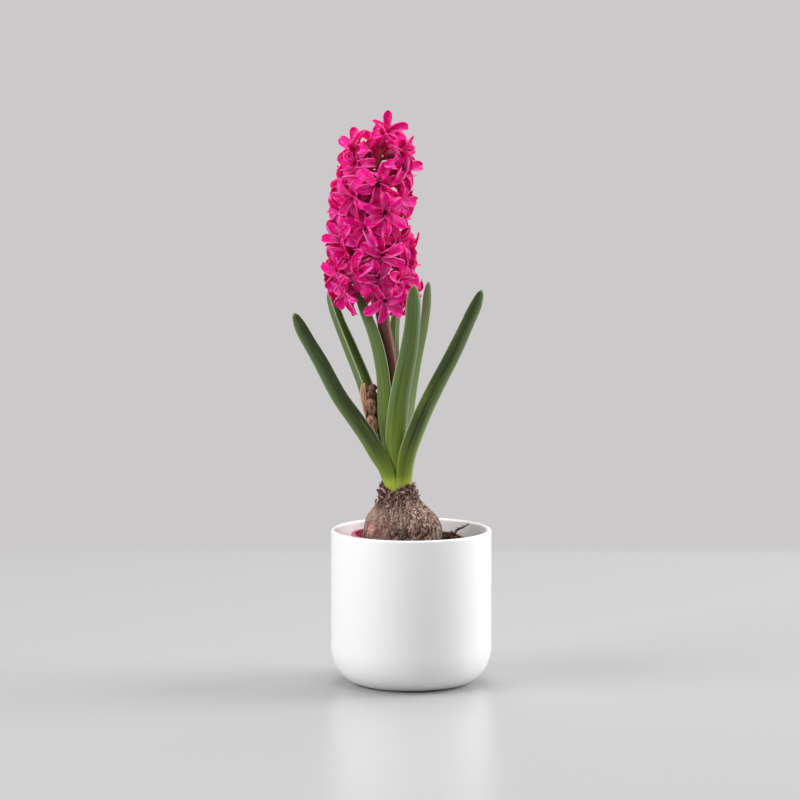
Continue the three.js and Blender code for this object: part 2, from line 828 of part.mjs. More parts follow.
// The faces of a lobe whose corners start at vertex r: its root has 6, its middle 4 and its tip 2. It grows
// from the side of the mouth between the outer corners b0 and b1 and the inner corners f0 and f1.
function lobeFaces(vertices, r, [b0, b1, f0, f1]) {
  const s = r + 6;
  const t = s + 4;
  const strip = (...corners) => quad(vertices, ...corners);
  const root = [[b0, b1, r + 1], [b0, r + 1, r], [b1, r + 2, r + 1]];
  root.push([f1, f0, r + 4], [f1, r + 4, r + 3], [f0, r + 5, r + 4]);
  root.push(...strip(b1, f1, r + 3, r + 2), ...strip(f0, b0, r, r + 5));
  const middle = [[r, r + 1, s], [r + 1, r + 2, s + 1], [s, r + 1, s + 1]];
  middle.push([r + 3, r + 4, s + 2], [r + 4, r + 5, s + 3], [s + 2, r + 4, s + 3]);
  middle.push(...strip(r + 2, r + 3, s + 2, s + 1), ...strip(r + 5, r, s, s + 3));
  const tip = [[s, s + 1, t], [s + 2, s + 3, t + 1]];
  tip.push(...strip(s + 1, s + 2, t + 1, t), ...strip(s + 3, s, t, t + 1));
  return [...root, ...middle, ...tip];
}

// One floret, its mouth at the origin and facing +Z, with its tube and stalk behind it.
function floretGeometry(reach, share) {
  const at = (z) => new THREE.Vector3(0, 0, z);
  const { stalkRadius, bulge, mouthRadius, rim, throatDepth, lobeThickness, curl } = FLORET;
  const vertices = [
    ...ring(at(-reach), UP, stalkRadius, LOBES),
    ...ring(at(-bulge[1]), UP, bulge[0], LOBES),
    ...ring(at(0), UP, mouthRadius, LOBES),
    ...ring(at(rim), UP, mouthRadius - lobeThickness, LOBES),
    at(-throatDepth),
  ];
  const [swelling, back, front, throat] = [LOBES, 2 * LOBES, 3 * LOBES, 4 * LOBES];
  const triangles = [[0, 5, 1], [1, 5, 4], [1, 4, 2], [2, 4, 3]]; // the end of the stalk
  for (let i = 0; i < LOBES; i++) {
    const j = (i + 1) % LOBES;
    triangles.push(...quad(vertices, i, j, swelling + j, swelling + i));
    triangles.push(...quad(vertices, swelling + i, swelling + j, back + j, back + i));
    triangles.push([front + i, front + j, throat]);
    const root = vertices.length;
    vertices.push(...lobeCorners((360 / LOBES) * (i + 0.5), curl[i % 2] * share));
    triangles.push(...lobeFaces(vertices, root, [back + i, back + j, front + i, front + j]));
  }
  return closedGeometry(vertices, triangles);
}

// Flower head: the rachis with every floret fused to it.
function headGeometry() {
  let solid = solidOf(rachisGeometry());
  floretPlaces().forEach(({ facing, reach, mouth }, i) => {
    const share = (i * GOLDEN) % 1;
    const floret = floretGeometry(reach, share);
    const turn = new THREE.Quaternion().setFromUnitVectors(UP, facing);
    floret.rotateZ(radians(FLORET.roll * share));
    floret.applyQuaternion(turn);
    floret.translate(mouth.x, mouth.y, mouth.z);
    solid = solid.add(solidOf(floret));
  });
  return geometryOf(solid);
}

// One shrivelled bud: a lumpy spindle, at a place along the spike.
function budGeometry(curve, { drop, out, turn, radius, length }) {
  const { flatness, lean, sides, rings } = BUD_SHAPE;
  const at = curve.getPointAt(1 - drop / curve.getLength());
  const bud = new THREE.SphereGeometry(1, sides, rings);
  bud.rotateX(Math.PI / 2);
  bud.scale(radius, radius * flatness, length / 2);
  bud.rotateZ(radians(turn));
  bud.rotateY(radians(lean));
  const side = heading(turn).multiplyScalar(out);
  bud.translate(at.x + side.x, at.y + side.y, at.z + side.z);
  return bud;
}

// Withered spike: its thin stalk with the buds fused to it.
function spikeGeometry() {
  const curve = curveOf(SPIKE_LINE);
  const stem = rod(curve, SPIKE_RADIUS, SPIKE_STEPS, SPIKE_CURVE_SEGMENTS);
  return geometryOf(fuse([stem, ...BUDS.map((bud) => budGeometry(curve, bud))]));
}

// Dry root: a thin strand along its curled line.
function rootGeometry() {
  return rod(curveOf(ROOT_LINE), ROOT_RADIUS, ROOT_STEPS, ROOT_CURVE_SEGMENTS);
}

// One named piece with its own material.
function piece(name, geometry, [colour, roughness]) {
  const material = new THREE.MeshStandardMaterial({ color: colour, roughness, metalness: 0 });
  const mesh = new THREE.Mesh(geometry, material);
  mesh.name = name;
  return mesh;
}

const plant = new THREE.Group();
plant.add(
  piece("bulb", bulbGeometry(), FINISHES.bulbSkin),
  ...LEAVES.map((leaf) => piece(leaf.name, leafGeometry(leaf), FINISHES.leaf)),
  piece("flower_stalk", stalkGeometry(), FINISHES.stalk),
  piece("flower_head", headGeometry(), FINISHES.petal),
  piece("withered_spike", spikeGeometry(), FINISHES.dryBud),
  piece("dry_root", rootGeometry(), FINISHES.dryRoot),
);

const hyacinth = new THREE.Group();
hyacinth.add(
  piece("pot", potGeometry(), FINISHES.ceramic),
  piece("nursery_pot", nurseryGeometry(), FINISHES.plastic),
  piece("potting_mix", mixGeometry(), FINISHES.mix),
  plant,
);

export default hyacinth;
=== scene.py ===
"""The looks of a potted hyacinth in flower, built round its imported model.

Sizes are in millimetres and angles in degrees unless a name says otherwise. +Z is up, the viewer stands on
the -Y side, and an azimuth turns round +Z from +X, so that 270 faces the viewer.
"""

import logging
import math
import random
from dataclasses import dataclass
from enum import Enum
from functools import cached_property
from typing import Callable, ClassVar, Iterable, Sequence

import bmesh
import bpy
import numpy as np
from mathutils import Matrix, Quaternion, Vector, noise


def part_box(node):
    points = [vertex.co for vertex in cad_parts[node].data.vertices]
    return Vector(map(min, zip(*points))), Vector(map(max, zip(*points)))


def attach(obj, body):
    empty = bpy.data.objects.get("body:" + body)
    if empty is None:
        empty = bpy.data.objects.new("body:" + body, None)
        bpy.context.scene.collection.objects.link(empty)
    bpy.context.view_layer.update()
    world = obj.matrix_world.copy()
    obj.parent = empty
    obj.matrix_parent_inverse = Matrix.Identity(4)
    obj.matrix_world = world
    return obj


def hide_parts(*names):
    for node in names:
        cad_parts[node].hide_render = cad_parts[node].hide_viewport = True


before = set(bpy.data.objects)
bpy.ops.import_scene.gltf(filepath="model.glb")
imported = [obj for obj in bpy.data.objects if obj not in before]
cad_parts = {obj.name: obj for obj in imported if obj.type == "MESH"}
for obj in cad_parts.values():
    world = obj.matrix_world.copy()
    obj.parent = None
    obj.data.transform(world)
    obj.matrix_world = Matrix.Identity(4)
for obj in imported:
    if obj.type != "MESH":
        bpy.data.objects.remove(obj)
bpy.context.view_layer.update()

LOG = logging.getLogger("hyacinth")
MM = 0.001
GOLDEN = 0.618034  # share of a turn that spreads a row of values evenly
BODY = "root"

Point = Sequence[float]
Row = list[Vector]
Stops = Sequence[tuple[float, float]]
Colour = tuple[float, float, float]
Range = tuple[float, float]


# Small sums

def heading(azimuth: float) -> Vector:
    """The horizontal unit vector of an azimuth."""
    return Vector((math.cos(math.radians(azimuth)), math.sin(math.radians(azimuth)), 0))


def up(height: float) -> Vector:
    """A step straight up."""
    return Vector((0, 0, height))


def compass(count: int) -> list[float]:
    """Azimuths spread evenly round the circle."""
    return [360 * i / count for i in range(count)]


def ring(centre: Vector, radius: float, turns: Iterable[float]) -> Row:
    """Level points round a centre, one at each azimuth."""
    return [centre + heading(turn) * radius for turn in turns]


def turned(angle: float, axis: str | Vector) -> Matrix:
    """A turn about an axis."""
    return Matrix.Rotation(math.radians(angle), 4, axis)


def dimmed(colour: Colour, share: float) -> Colour:
    """A colour with a share of its light."""
    return tuple(c * share for c in colour)


def mix(a: float, b: float, share: float) -> float:
    """The value a share of the way from a to b."""
    return a + (b - a) * share


def ease(x: float, low: float, high: float) -> float:
    """0 below low, 1 above high, and a smooth rise between them."""
    t = min(1.0, max(0.0, (x - low) / (high - low)))
    return t * t * (3 - 2 * t)


def between(stops: Stops, x: float) -> float:
    """The value at x of a list of (x, value) stops, straight between them."""
    return float(np.interp(x, [s[0] for s in stops], [s[1] for s in stops]))


def at_height(line: Sequence[Point], z: float) -> Vector:
    """The point of a rising line of points at a height."""
    heights = [p[2] for p in line]
    return Vector([*(np.interp(z, heights, [p[k] for p in line]) for k in (0, 1)), z])


def rough(point: Vector, size: float, octaves: int = 3) -> float:
    """Smooth noise from -1 to 1 at a point, with lumps of a size in mm."""
    return noise.fractal(point / size, 0.6, 2.0, octaves)


class Line:
    """A smooth line through points, measured along its length."""

    STEPS: ClassVar[int] = 24
    SHORTEST: ClassVar[float] = 1e-4
    REACH: ClassVar[float] = 0.004  # share of the length that a tangent looks to either side

    def __init__(self, points: Sequence[Point]) -> None:
        """Samples a centripetal Catmull-Rom curve.

        Args:
            points: The points that it runs through.
        """
        p = [np.array(q, float) for q in points]
        p = [2 * p[0] - p[1], *p, 2 * p[-1] - p[-2]]
        samples = [p[1]]
        for a, b, c, d in zip(p, p[1:], p[2:], p[3:]):
            t0, t1, t2 = (max(self.SHORTEST, float(np.linalg.norm(v)) ** 0.5) for v in (b - a, c - b, d - c))
            out = ((b - a) / t0 - (c - a) / (t0 + t1) + (c - b) / t1) * t1
            into = ((c - b) / t1 - (d - b) / (t1 + t2) + (d - c) / t2) * t1
            square = 3 * (c - b) - 2 * out - into
            cube = 2 * (b - c) + out + into
            for i in range(1, self.STEPS + 1):
                t = i / self.STEPS
                samples.append(b + out * t + square * t**2 + cube * t**3)
        self.samples = np.array(samples)
        self.along = np.concatenate([[0], np.cumsum(np.linalg.norm(np.diff(self.samples, axis=0), axis=1))])

    @property
    def length(self) -> float:
        """The length of the line."""
        return float(self.along[-1])

    def at(self, share: float) -> Vector:
        """The point a share of the way along."""
        return Vector([np.interp(share * self.length, self.along, self.samples[:, k]) for k in range(3)])

    def tangent(self, share: float) -> Vector:
        """The direction of the line a share of the way along."""
        return (self.at(min(1, share + self.REACH)) - self.at(max(0, share - self.REACH))).normalized()

    def turn(self, share: float) -> Quaternion:
        """The turn from upright to the direction of the line."""
        return up(1).rotation_difference(self.tangent(share))


# Modelling by hand

def deselect() -> None:
    """Leaves object mode with nothing selected."""
    if bpy.context.mode != "OBJECT":
        bpy.ops.object.mode_set(mode="OBJECT")
    bpy.ops.object.select_all(action="DESELECT")


def pick(pieces: Iterable[bpy.types.Object]) -> None:
    """Selects pieces and makes the first one active.

    Args:
        pieces: The pieces.
    """
    deselect()
    for i, piece in enumerate(pieces):
        piece.select_set(True)
        if i == 0:
            bpy.context.view_layer.objects.active = piece


def edit(piece: bpy.types.Object) -> None:
    """Enters edit mode with all of a piece selected.

    Args:
        piece: The piece.
    """
    pick([piece])
    bpy.ops.object.mode_set(mode="EDIT")
    bpy.ops.mesh.select_all(action="SELECT")


def sew(piece: bpy.types.Object) -> None:
    """Merges double vertices, closes open ends and turns all faces out.

    Args:
        piece: The piece.
    """
    edit(piece)
    bpy.ops.mesh.remove_doubles(threshold=0.002 * MM)
    bpy.ops.mesh.fill_holes(sides=0)
    bpy.ops.mesh.normals_make_consistent(inside=False)
    deselect()


def surface(name: str, rows: Sequence[Row], uv: Sequence[Stops] | None = None,
            around: bool = False) -> bpy.types.Object:
    """Adds a grid and lays its vertices on rows of points.

    Args:
        name: The name of the new piece.
        rows: Rows of points in mm, all equally long.
        uv: A pair for each point, or None to keep the grid's own map.
        around: Whether each row closes on itself, as on a tube, whose ends are then closed too.

    Returns:
        The new piece.
    """
    deselect()
    rows = [row + row[:1] if around else row for row in rows]
    columns = len(rows[0])
    bpy.ops.mesh.primitive_grid_add(x_subdivisions=columns - 1, y_subdivisions=len(rows) - 1, calc_uvs=True)
    piece = bpy.context.object
    piece.name = piece.data.name = name
    places = np.array([tuple(p) for row in rows for p in row], np.float32) * MM
    piece.data.vertices.foreach_set("co", places.ravel())
    if uv is not None:
        pairs = np.array([pair for row in uv for pair in row], np.float32)
        corners = np.empty(len(piece.data.loops), np.int32)
        piece.data.loops.foreach_get("vertex_index", corners)
        piece.data.uv_layers.active.data.foreach_set("uv", pairs[corners].ravel())
    piece.data.update()
    if around:
        sew(piece)
    return piece


def tube(name: str, line: Line, radius: Callable[[float, float], float], steps: int,
         sides: int) -> bpy.types.Object:
    """A closed tube along a line.

    Args:
        name: The name of the new piece.
        line: Its centre line.
        radius: The radius at a share of the length and an azimuth.
        steps: The number of rings.
        sides: The number of sides.

    Returns:
        The new piece.
    """
    rows = []
    for share in (i / steps for i in range(steps + 1)):
        at, turn = line.at(share), line.turn(share)
        rows.append([at + turn @ (heading(a) * radius(share, a)) for a in compass(sides)])
    return surface(name, rows, around=True)


def finish_with(piece: bpy.types.Object, kind: str, **settings: object) -> None:
    """Adds a modifier to a piece and applies it.

    Args:
        piece: The piece.
        kind: The modifier's type.
        settings: Its properties.
    """
    pick([piece])
    modifier = piece.modifiers.new(kind.lower(), kind)
    for name, value in settings.items():
        setattr(modifier, name, value)
    bpy.ops.object.modifier_apply(modifier=modifier.name)


def paint(piece: bpy.types.Object, name: str, values: float | np.ndarray) -> None:
    """Writes a number to each vertex of a piece as an attribute.

    Args:
        piece: The piece.
        name: The attribute's name.
        values: One number for all vertices, or one for each.
    """
    mesh = piece.data
    held = mesh.attributes.get(name) or mesh.attributes.new(name, "FLOAT", "POINT")
    held.data.foreach_set("value", np.broadcast_to(np.asarray(values, np.float32), len(mesh.vertices)).copy())


def copy_of(piece: bpy.types.Object, place: Matrix) -> bpy.types.Object:
    """Copies a piece with a mesh of its own.

    Args:
        piece: The pattern.
        place: Where the copy lies, in mm.

    Returns:
        The copy.
    """
    pick([piece])
    bpy.ops.object.duplicate(linked=False)
    made = bpy.context.object
    scale = Matrix.Diagonal((MM, MM, MM, 1))
    made.data.transform(scale @ place @ scale.inverted())
    return made


def join(name: str, pieces: list[bpy.types.Object]) -> bpy.types.Object:
    """Joins pieces into one.

    Args:
        name: The name of the joined piece.
        pieces: The pieces.

    Returns:
        The joined piece.
    """
    pick(pieces)
    bpy.ops.object.join()
    made = bpy.context.object
    made.name = made.data.name = name
    return made


def remove(pieces: Iterable[bpy.types.Object]) -> None:
    """Deletes patterns that were only there to be copied."""
    pick(pieces)
    bpy.ops.object.delete()


def ball(subdivisions: int) -> bpy.types.Object:
    """Adds a ball with a radius of 1 mm at the origin.

    Args:
        subdivisions: How finely it is divided.

    Returns:
        The ball.
    """
    deselect()
    bpy.ops.mesh.primitive_ico_sphere_add(subdivisions=subdivisions, radius=MM)
    return bpy.context.object


def spun(name: str, profile: Sequence[tuple[float, float]], steps: int) -> bpy.types.Object:
    """Turns a solid about +Z.

    Args:
        name: The name of the new piece.
        profile: Its outline as (radius, height), which starts and ends on the axis.
        steps: The number of steps of the turn.

    Returns:
        The new piece.
    """
    deselect()
    bpy.ops.mesh.primitive_plane_add(size=1)
    piece = bpy.context.object
    piece.name = piece.data.name = name
    bpy.ops.object.mode_set(mode="EDIT")
    bpy.ops.mesh.merge(type="CENTER")
    mesh = bmesh.from_edit_mesh(piece.data)
    mesh.verts.ensure_lookup_table()
    mesh.verts[0].co = Vector((profile[0][0], 0, profile[0][1])) * MM
    for (r0, z0), (r1, z1) in zip(profile, profile[1:]):
        bpy.ops.mesh.extrude_region_move(
            TRANSFORM_OT_translate={"value": ((r1 - r0) * MM, 0, (z1 - z0) * MM)})
    bpy.ops.mesh.select_all(action="SELECT")
    bpy.ops.mesh.spin(steps=steps, angle=2 * math.pi, center=(0, 0, 0), axis=(0, 0, 1), use_auto_merge=True)
    sew(piece)
    return piece


def arc(centre: tuple[float, float], size: tuple[float, float], start: float, end: float,
        steps: int) -> list[tuple[float, float]]:
    """Points of an ellipse about a centre, from one angle to another."""
    angles = [math.radians(mix(start, end, i / steps)) for i in range(steps + 1)]
    return [(centre[0] + size[0] * math.cos(a), centre[1] + size[1] * math.sin(a)) for a in angles]


# Shading

class Wire:
    """A socket of a material, with the arithmetic of Python."""

    def __init__(self, tree: "NodeTree", socket: bpy.types.NodeSocket) -> None:
        """Holds the socket and the tree that it is in."""
        self.tree = tree
        self.socket = socket

    def _math(self, operation: str, *values: "Wire | float") -> "Wire":
        """A Math node on these values."""
        return self.tree.node("ShaderNodeMath", {"operation": operation}, dict(enumerate(values)))

    def __add__(self, other: "Wire | float") -> "Wire":
        """The sum."""
        return self._math("ADD", self, other)

    __radd__ = __add__

    def __sub__(self, other: "Wire | float") -> "Wire":
        """The difference."""
        return self._math("SUBTRACT", self, other)

    def __rsub__(self, other: float) -> "Wire":
        """The difference from a number."""
        return self._math("SUBTRACT", other, self)

    def __mul__(self, other: "Wire | float") -> "Wire":
        """The product."""
        return self._math("MULTIPLY", self, other)

    __rmul__ = __mul__

    def __abs__(self) -> "Wire":
        """The distance from 0."""
        return self._math("ABSOLUTE", self)

    def rise(self, low: float, high: float) -> "Wire":
        """0 at low and 1 at high, smooth between them, and the other way round where low is above high."""
        ends = {1: low, 2: high, 3: 0.0, 4: 1.0} if low < high else {1: high, 2: low, 3: 1.0, 4: 0.0}
        return self.tree.node("ShaderNodeMapRange", {"interpolation_type": "SMOOTHSTEP"}, {0: self, **ends})


class NodeTree:
    """A tree of shader nodes under construction."""

    def __init__(self, tree: bpy.types.NodeTree) -> None:
        """Holds the tree."""
        self.tree = tree

    def found(self, kind: str) -> bpy.types.Node:
        """The tree's own node of a kind."""
        return next(n for n in self.tree.nodes if n.type == kind)

    def node(self, kind: str, settings: dict[str, object] | None = None,
             inputs: dict[int | str, object] | None = None, output: int | str = 0) -> Wire:
        """Adds a node.

        Args:
            kind: Its type.
            settings: Its properties, with a ramp's stops under "stops".
            inputs: Values or wires by the number or name of their sockets.
            output: The number or name of the socket that is wanted.

        Returns:
            The wanted output.
        """
        made = self.tree.nodes.new(kind)
        for key, value in (settings or {}).items():
            if key != "stops":
                setattr(made, key, value)
                continue
            ramp = made.color_ramp.elements
            while len(ramp) < len(value):
                ramp.new(0.5)
            for element, (place, colour) in zip(ramp, value):
                element.position = place
                element.color = (*colour, 1)
        for key, value in (inputs or {}).items():
            if isinstance(value, Wire):
                self.tree.links.new(value.socket, made.inputs[key])
            elif isinstance(value, tuple) and made.inputs[key].type == "RGBA":
                made.inputs[key].default_value = (*value, 1)
            else:
                made.inputs[key].default_value = value
        return Wire(self, made.outputs[output])

    def blend(self, share: Wire | float, a: Wire | Colour, b: Wire | Colour) -> Wire:
        """Two colours mixed by a share."""
        return self.node("ShaderNodeMix", {"data_type": "RGBA", "clamp_factor": True},
                         {0: share, 6: a, 7: b}, output=2)

    def layered(self, base: Wire | Colour, *layers: tuple[Wire, Colour]) -> Wire:
        """Lays colours over a base colour.

        Args:
            base: The base colour.
            layers: The share and the colour of each layer, from the lowest up.

        Returns:
            The colour that shows.
        """
        for share, colour in layers:
            base = self.blend(share, base, colour)
        return base


class Shading(NodeTree):
    """A material under construction: one principled shader and the nodes that feed it."""

    def __init__(self, name: str, **uniform: float | Colour) -> None:
        """Starts the material.

        Args:
            name: Its name.
            uniform: Values of the shader's sockets that are the same all over, with _ for a space.
        """
        self.material = bpy.data.materials.new(name)
        self.material.use_nodes = True
        super().__init__(self.material.node_tree)
        self.shader = self.found("BSDF_PRINCIPLED")
        for key, value in uniform.items():
            self.shader.inputs[key.replace("_", " ")].default_value = value

    def place(self) -> Wire:
        """The point of the object, in metres."""
        return self.node("ShaderNodeTexCoord", output="Object")

    def across_and_along(self) -> tuple[Wire, Wire]:
        """The two values of the piece's own map."""
        uv = self.node("ShaderNodeTexCoord", output="UV")
        return tuple(self.node("ShaderNodeSeparateXYZ", inputs={0: uv}, output=k) for k in (0, 1))

    def mm(self, axis: str) -> Wire:
        """How far a point of the object lies along X, Y or Z, in mm."""
        return self.node("ShaderNodeSeparateXYZ", inputs={0: self.place()}, output=axis) * (1 / MM)

    def attribute(self, name: str) -> Wire:
        """A number painted on the vertices."""
        return self.node("ShaderNodeAttribute", {"attribute_name": name}, output="Fac")

    def noise(self, where: Wire, scale: float, detail: float = 3.0, rough: float = 0.55,
              curl: float = 0.0) -> Wire:
        """Noise from 0 to 1 at a place.

        Args:
            where: The place.
            scale: How many lumps there are to a unit.
            detail: How many finer layers it has.
            rough: How strong the finer layers are.
            curl: How far its lumps are drawn out into curls.

        Returns:
            The noise.
        """
        return self.node("ShaderNodeTexNoise", inputs={
            "Vector": where, "Scale": scale, "Detail": detail, "Roughness": rough, "Distortion": curl})

    def mapped(self, x: Wire, y: Wire, z: Wire | float = 0.0, detail: float = 4.0, rough: float = 0.6,
               curl: float = 0.0) -> Wire:
        """Noise at the place that three values give, with a lump to each unit."""
        where = self.node("ShaderNodeCombineXYZ", inputs={0: x, 1: y, 2: z})
        return self.noise(where, 1.0, detail, rough, curl)

    def stretch(self, where: Wire, x: float, y: float, z: float) -> Wire:
        """A place with its axes scaled."""
        return self.node("ShaderNodeVectorMath", {"operation": "MULTIPLY"}, {0: where, 1: (x, y, z)})

    def ramp(self, value: Wire, *stops: tuple[float, Colour]) -> Wire:
        """A colour from a value, by stops."""
        return self.node("ShaderNodeValToRGB", {"stops": stops}, {0: value})

    def feed(self, socket: str, value: Wire) -> None:
        """Links a wire to a socket of the shader."""
        self.tree.links.new(value.socket, self.shader.inputs[socket])

    def finished(self, colour: Wire, roughness: Wire, relief: Wire, depth: float,
                 strength: float = 1.0) -> bpy.types.Material:
        """Links what varies over the surface.

        Args:
            colour: The base colour.
            roughness: The roughness.
            relief: The relief, from 0 to 1.
            depth: What a relief of 1 stands for, in mm.
            strength: How much of the relief shows.

        Returns:
            The material.
        """
        self.feed("Base Color", colour)
        self.feed("Roughness", roughness)
        self.feed("Normal", self.node("ShaderNodeBump", inputs={
            "Height": relief, "Distance": depth * MM, "Strength": strength}, output="Normal"))
        return self.material


@dataclass(frozen=True)
class Ceramic:
    """White satin glaze, darker and duller in a band at its foot."""

    white: Colour = (0.9, 0.9, 0.902)
    foot: Colour = (0.7, 0.68, 0.66)
    cloudiness: float = 0.975
    roughness: float = 0.38
    foot_height: float = 0.9

    def made(self) -> bpy.types.Material:
        """Clouds the glaze a little and makes it darker and duller in a band at the foot.

        Returns:
            The material.
        """
        s = Shading("satin_glaze", Coat_Weight=0.25, Coat_Roughness=0.3)
        place = s.place()
        cloud = s.noise(place, 28, 2)
        band = s.mm("Z").rise(self.foot_height, 0.4 * self.foot_height)
        tone = s.layered(self.white, (cloud, dimmed(self.white, self.cloudiness)), (band, self.foot))
        return s.finished(tone, cloud * 0.08 + band * 0.3 + self.roughness,
                          s.noise(place, 900, 2) * 0.35 + cloud, 0.05, 0.35)


@dataclass(frozen=True)
class Plastic:
    """Thin moulded plastic, scuffed, with mix stuck on its right, painted shade there and painted light on
    its left.
    """

    colour: Colour = (0.62, 0.11, 0.24)
    # deep colour: painted shade, laid on the right side
    deep: Colour = (0.5, 0.08, 0.09)
    stain: Colour = (0.09, 0.026, 0.018)
    # painted light: a paler pink that brightens the left wall
    lit_pink: Colour = (0.95, 0.18, 0.36)
    # where the wall is soiled: to the right of a place and below a height
    soiled: Range = (-18, 109.25)
    # the band of painted light on the left wall: its two ends and its top
    lit_ends: Range = (-43, -29)
    lit_top: float = 110

    def made(self) -> bpy.types.Material:
        """Darkens its right side with painted shade, paints light on its left wall, and lays dust and soil on
        it.

        Returns:
            The material.
        """
        s = Shading("moulded_plastic", Subsurface_Weight=0.2, Subsurface_Scale=0.002)
        place, side, height = s.place(), s.mm("X"), s.mm("Z")
        scuff = s.noise(s.stretch(place, 60, 60, 900), 3, 4)
        dust = s.noise(place, 160, 5, 0.65)
        right, low = self.soiled
        soil = side.rise(right - 10, right + 10) * height.rise(low + 1.25, low - 1.25)
        start, end = self.lit_ends
        band = side.rise(start - 0.2, start + 0.2) * side.rise(end + 5, end - 5)
        tone = s.layered(
            self.colour,
            # painted shade: the wall darkens towards its right side
            (side.rise(-30, 10), self.deep),
            # painted light: a paler pink band on the left wall, which its own shade would darken
            (band * height.rise(self.lit_top + 0.6, self.lit_top - 0.6), self.lit_pink),
            ((dust * 0.7 + soil * 0.45).rise(0.5, 0.72), self.stain),
        )
        return s.finished(tone, scuff * 0.25 + 0.28, scuff * 0.4 + dust * 0.6, 0.2, 0.5)


@dataclass(frozen=True)
class Soil:
    """Moist potting mix: near black crumbs and paler fibres."""

    dark: Colour = (0.018, 0.008, 0.006)
    brown: Colour = (0.11, 0.05, 0.032)

    def made(self) -> bpy.types.Material:
        """Speckles the mix with paler grains.

        Returns:
            The material.
        """
        s = Shading("potting_mix")
        grain = s.noise(s.place(), 420, 6, 0.7)
        tone = s.blend(grain.rise(0.4, 0.75) * 0.6 + s.attribute("tint") * 0.5, self.dark, self.brown)
        return s.finished(tone, 1.0 - grain * 0.3, grain, 0.9)


@dataclass(frozen=True)
class Tunic:
    """Papery bulb skin, smooth on its left and shaggy with curled fibres on its right, with painted shade
    between them.
    """

    brown: Colour = (0.33, 0.2, 0.152)
    purple: Colour = (0.225, 0.1, 0.08)
    # gap colour: painted shade, near black in the hollows between the fibres
    gap: Colour = (0.026, 0.008, 0.007)
    fibre: Colour = (0.84, 0.58, 0.46)
    neck: Colour = (0.06, 0.02, 0.018)
    flake: Colour = (0.9, 0.72, 0.6)
    pink: Colour = (0.74, 0.32, 0.29)
    # where the skin is torn to the pink flesh, and where it is darkest: a place and how far it reaches
    sore: tuple[Point, float] = ((-30, -16.5, 119), 6.5)
    dark_patch: tuple[Point, float] = ((-5, -29, 115.5), 8)
    neck_heights: Range = (127, 140)

    def near(self, s: Shading, spot: tuple[Point, float], ragged: Wire) -> Wire:
        """A mask round a spot, with a ragged edge.

        Args:
            s: The material under construction.
            spot: The place and how far it reaches, in mm.
            ragged: The noise that frays the edge.

        Returns:
            1 at the spot and 0 past its reach.
        """
        at, reach = spot
        away = s.node("ShaderNodeVectorMath", {"operation": "DISTANCE"},
                      {0: s.place(), 1: tuple(c * MM for c in at)}, output=1) * (1 / MM)
        return (away + (ragged - 0.5) * reach * 2.4).rise(reach, 0.3 * reach)

    def made(self) -> bpy.types.Material:
        """Layers the skin: brown and purple, torn flesh, painted shade in the gaps, fibres, flakes, a dark
        patch and the dark neck.

        Returns:
            The material.
        """
        s = Shading("bulb_tunic", Specular_IOR_Level=0.3)
        across, along = s.across_and_along()
        place = s.place()
        warp = s.noise(place, 60, 3)
        cloud = s.noise(place, 38, 2)
        shaggy = (s.mm("X").rise(-30, 0) * 0.75 + cloud * 0.9 - 0.35).rise(0.05, 0.6) * 0.8 + 0.2
        net = s.noise(s.stretch(place, 1, 1, 0.55), 200, 4, 0.62, curl=3.4)
        strand = s.mapped(across * 36 + warp * 9, along * 8 + warp * 5, curl=2.0)
        fine = s.mapped(across * 330 + warp * 12, along * 50, rough=0.7)
        light = (net.rise(0.52, 0.62) + strand.rise(0.54, 0.64)).rise(0.0, 1.1) * shaggy
        dark = (net.rise(0.48, 0.4) + strand.rise(0.45, 0.38)).rise(0.0, 1.1) * shaggy
        skin = s.layered(
            self.brown,
            (warp.rise(0.42, 0.6), self.purple),
            (fine.rise(0.5, 0.72) * 0.5, self.fibre),
            (self.near(s, self.sore, warp) * fine.rise(0.3, 0.5) * 0.9, self.pink),
            # painted shade: the next two layers darken the hollows of the relief between the fibres
            (fine.rise(0.47, 0.32) * 0.5, self.gap),
            (dark * 0.9, self.gap),
            (light * 0.85, self.fibre),
            (s.attribute("ridge").rise(0.58, 0.85) * fine.rise(0.42, 0.62) * 0.8, self.flake),
            # darker in one patch low on the front of the bulb
            (self.near(s, self.dark_patch, warp) * (1.0 - light * 0.5) * 0.6, self.gap),
            (s.mm("Z").rise(*self.neck_heights) * strand.rise(0.66, 0.42) * 0.8, self.neck),
        )
        return s.finished(skin, 0.9 - light * 0.2, light * 0.6 - dark * 0.5 + fine * 0.5 + 0.5, 1.5)


@dataclass(frozen=True)
class Husk:
    """Dry papery scale or shrivelled bud, with painted shade in its folds and pale ridges."""

    name: str
    dark: Colour
    middle: Colour
    pale: Colour
    lines: float = 26

    def made(self) -> bpy.types.Material:
        """Streaks the husk along its length.

        Returns:
            The material.
        """
        s = Shading(self.name)
        across, along = s.across_and_along()
        tint = s.attribute("tint")
        streak = s.mapped(across * self.lines, along * 2.5, tint * 9, detail=5, rough=0.65)
        blotch = s.noise(s.place(), 260, 4)
        tone = s.layered(
            # painted shade: the dark base shows where the relief is low, in the folds
            self.dark,
            (blotch.rise(0.35, 0.65), self.middle),
            ((streak + tint * 0.5).rise(0.5, 0.95), self.pale),
            (tint.rise(0.75, 1.0), self.pale),
        )
        return s.finished(tone, 0.85 - streak * 0.3, streak * 0.7 + blotch * 0.3, 0.6)


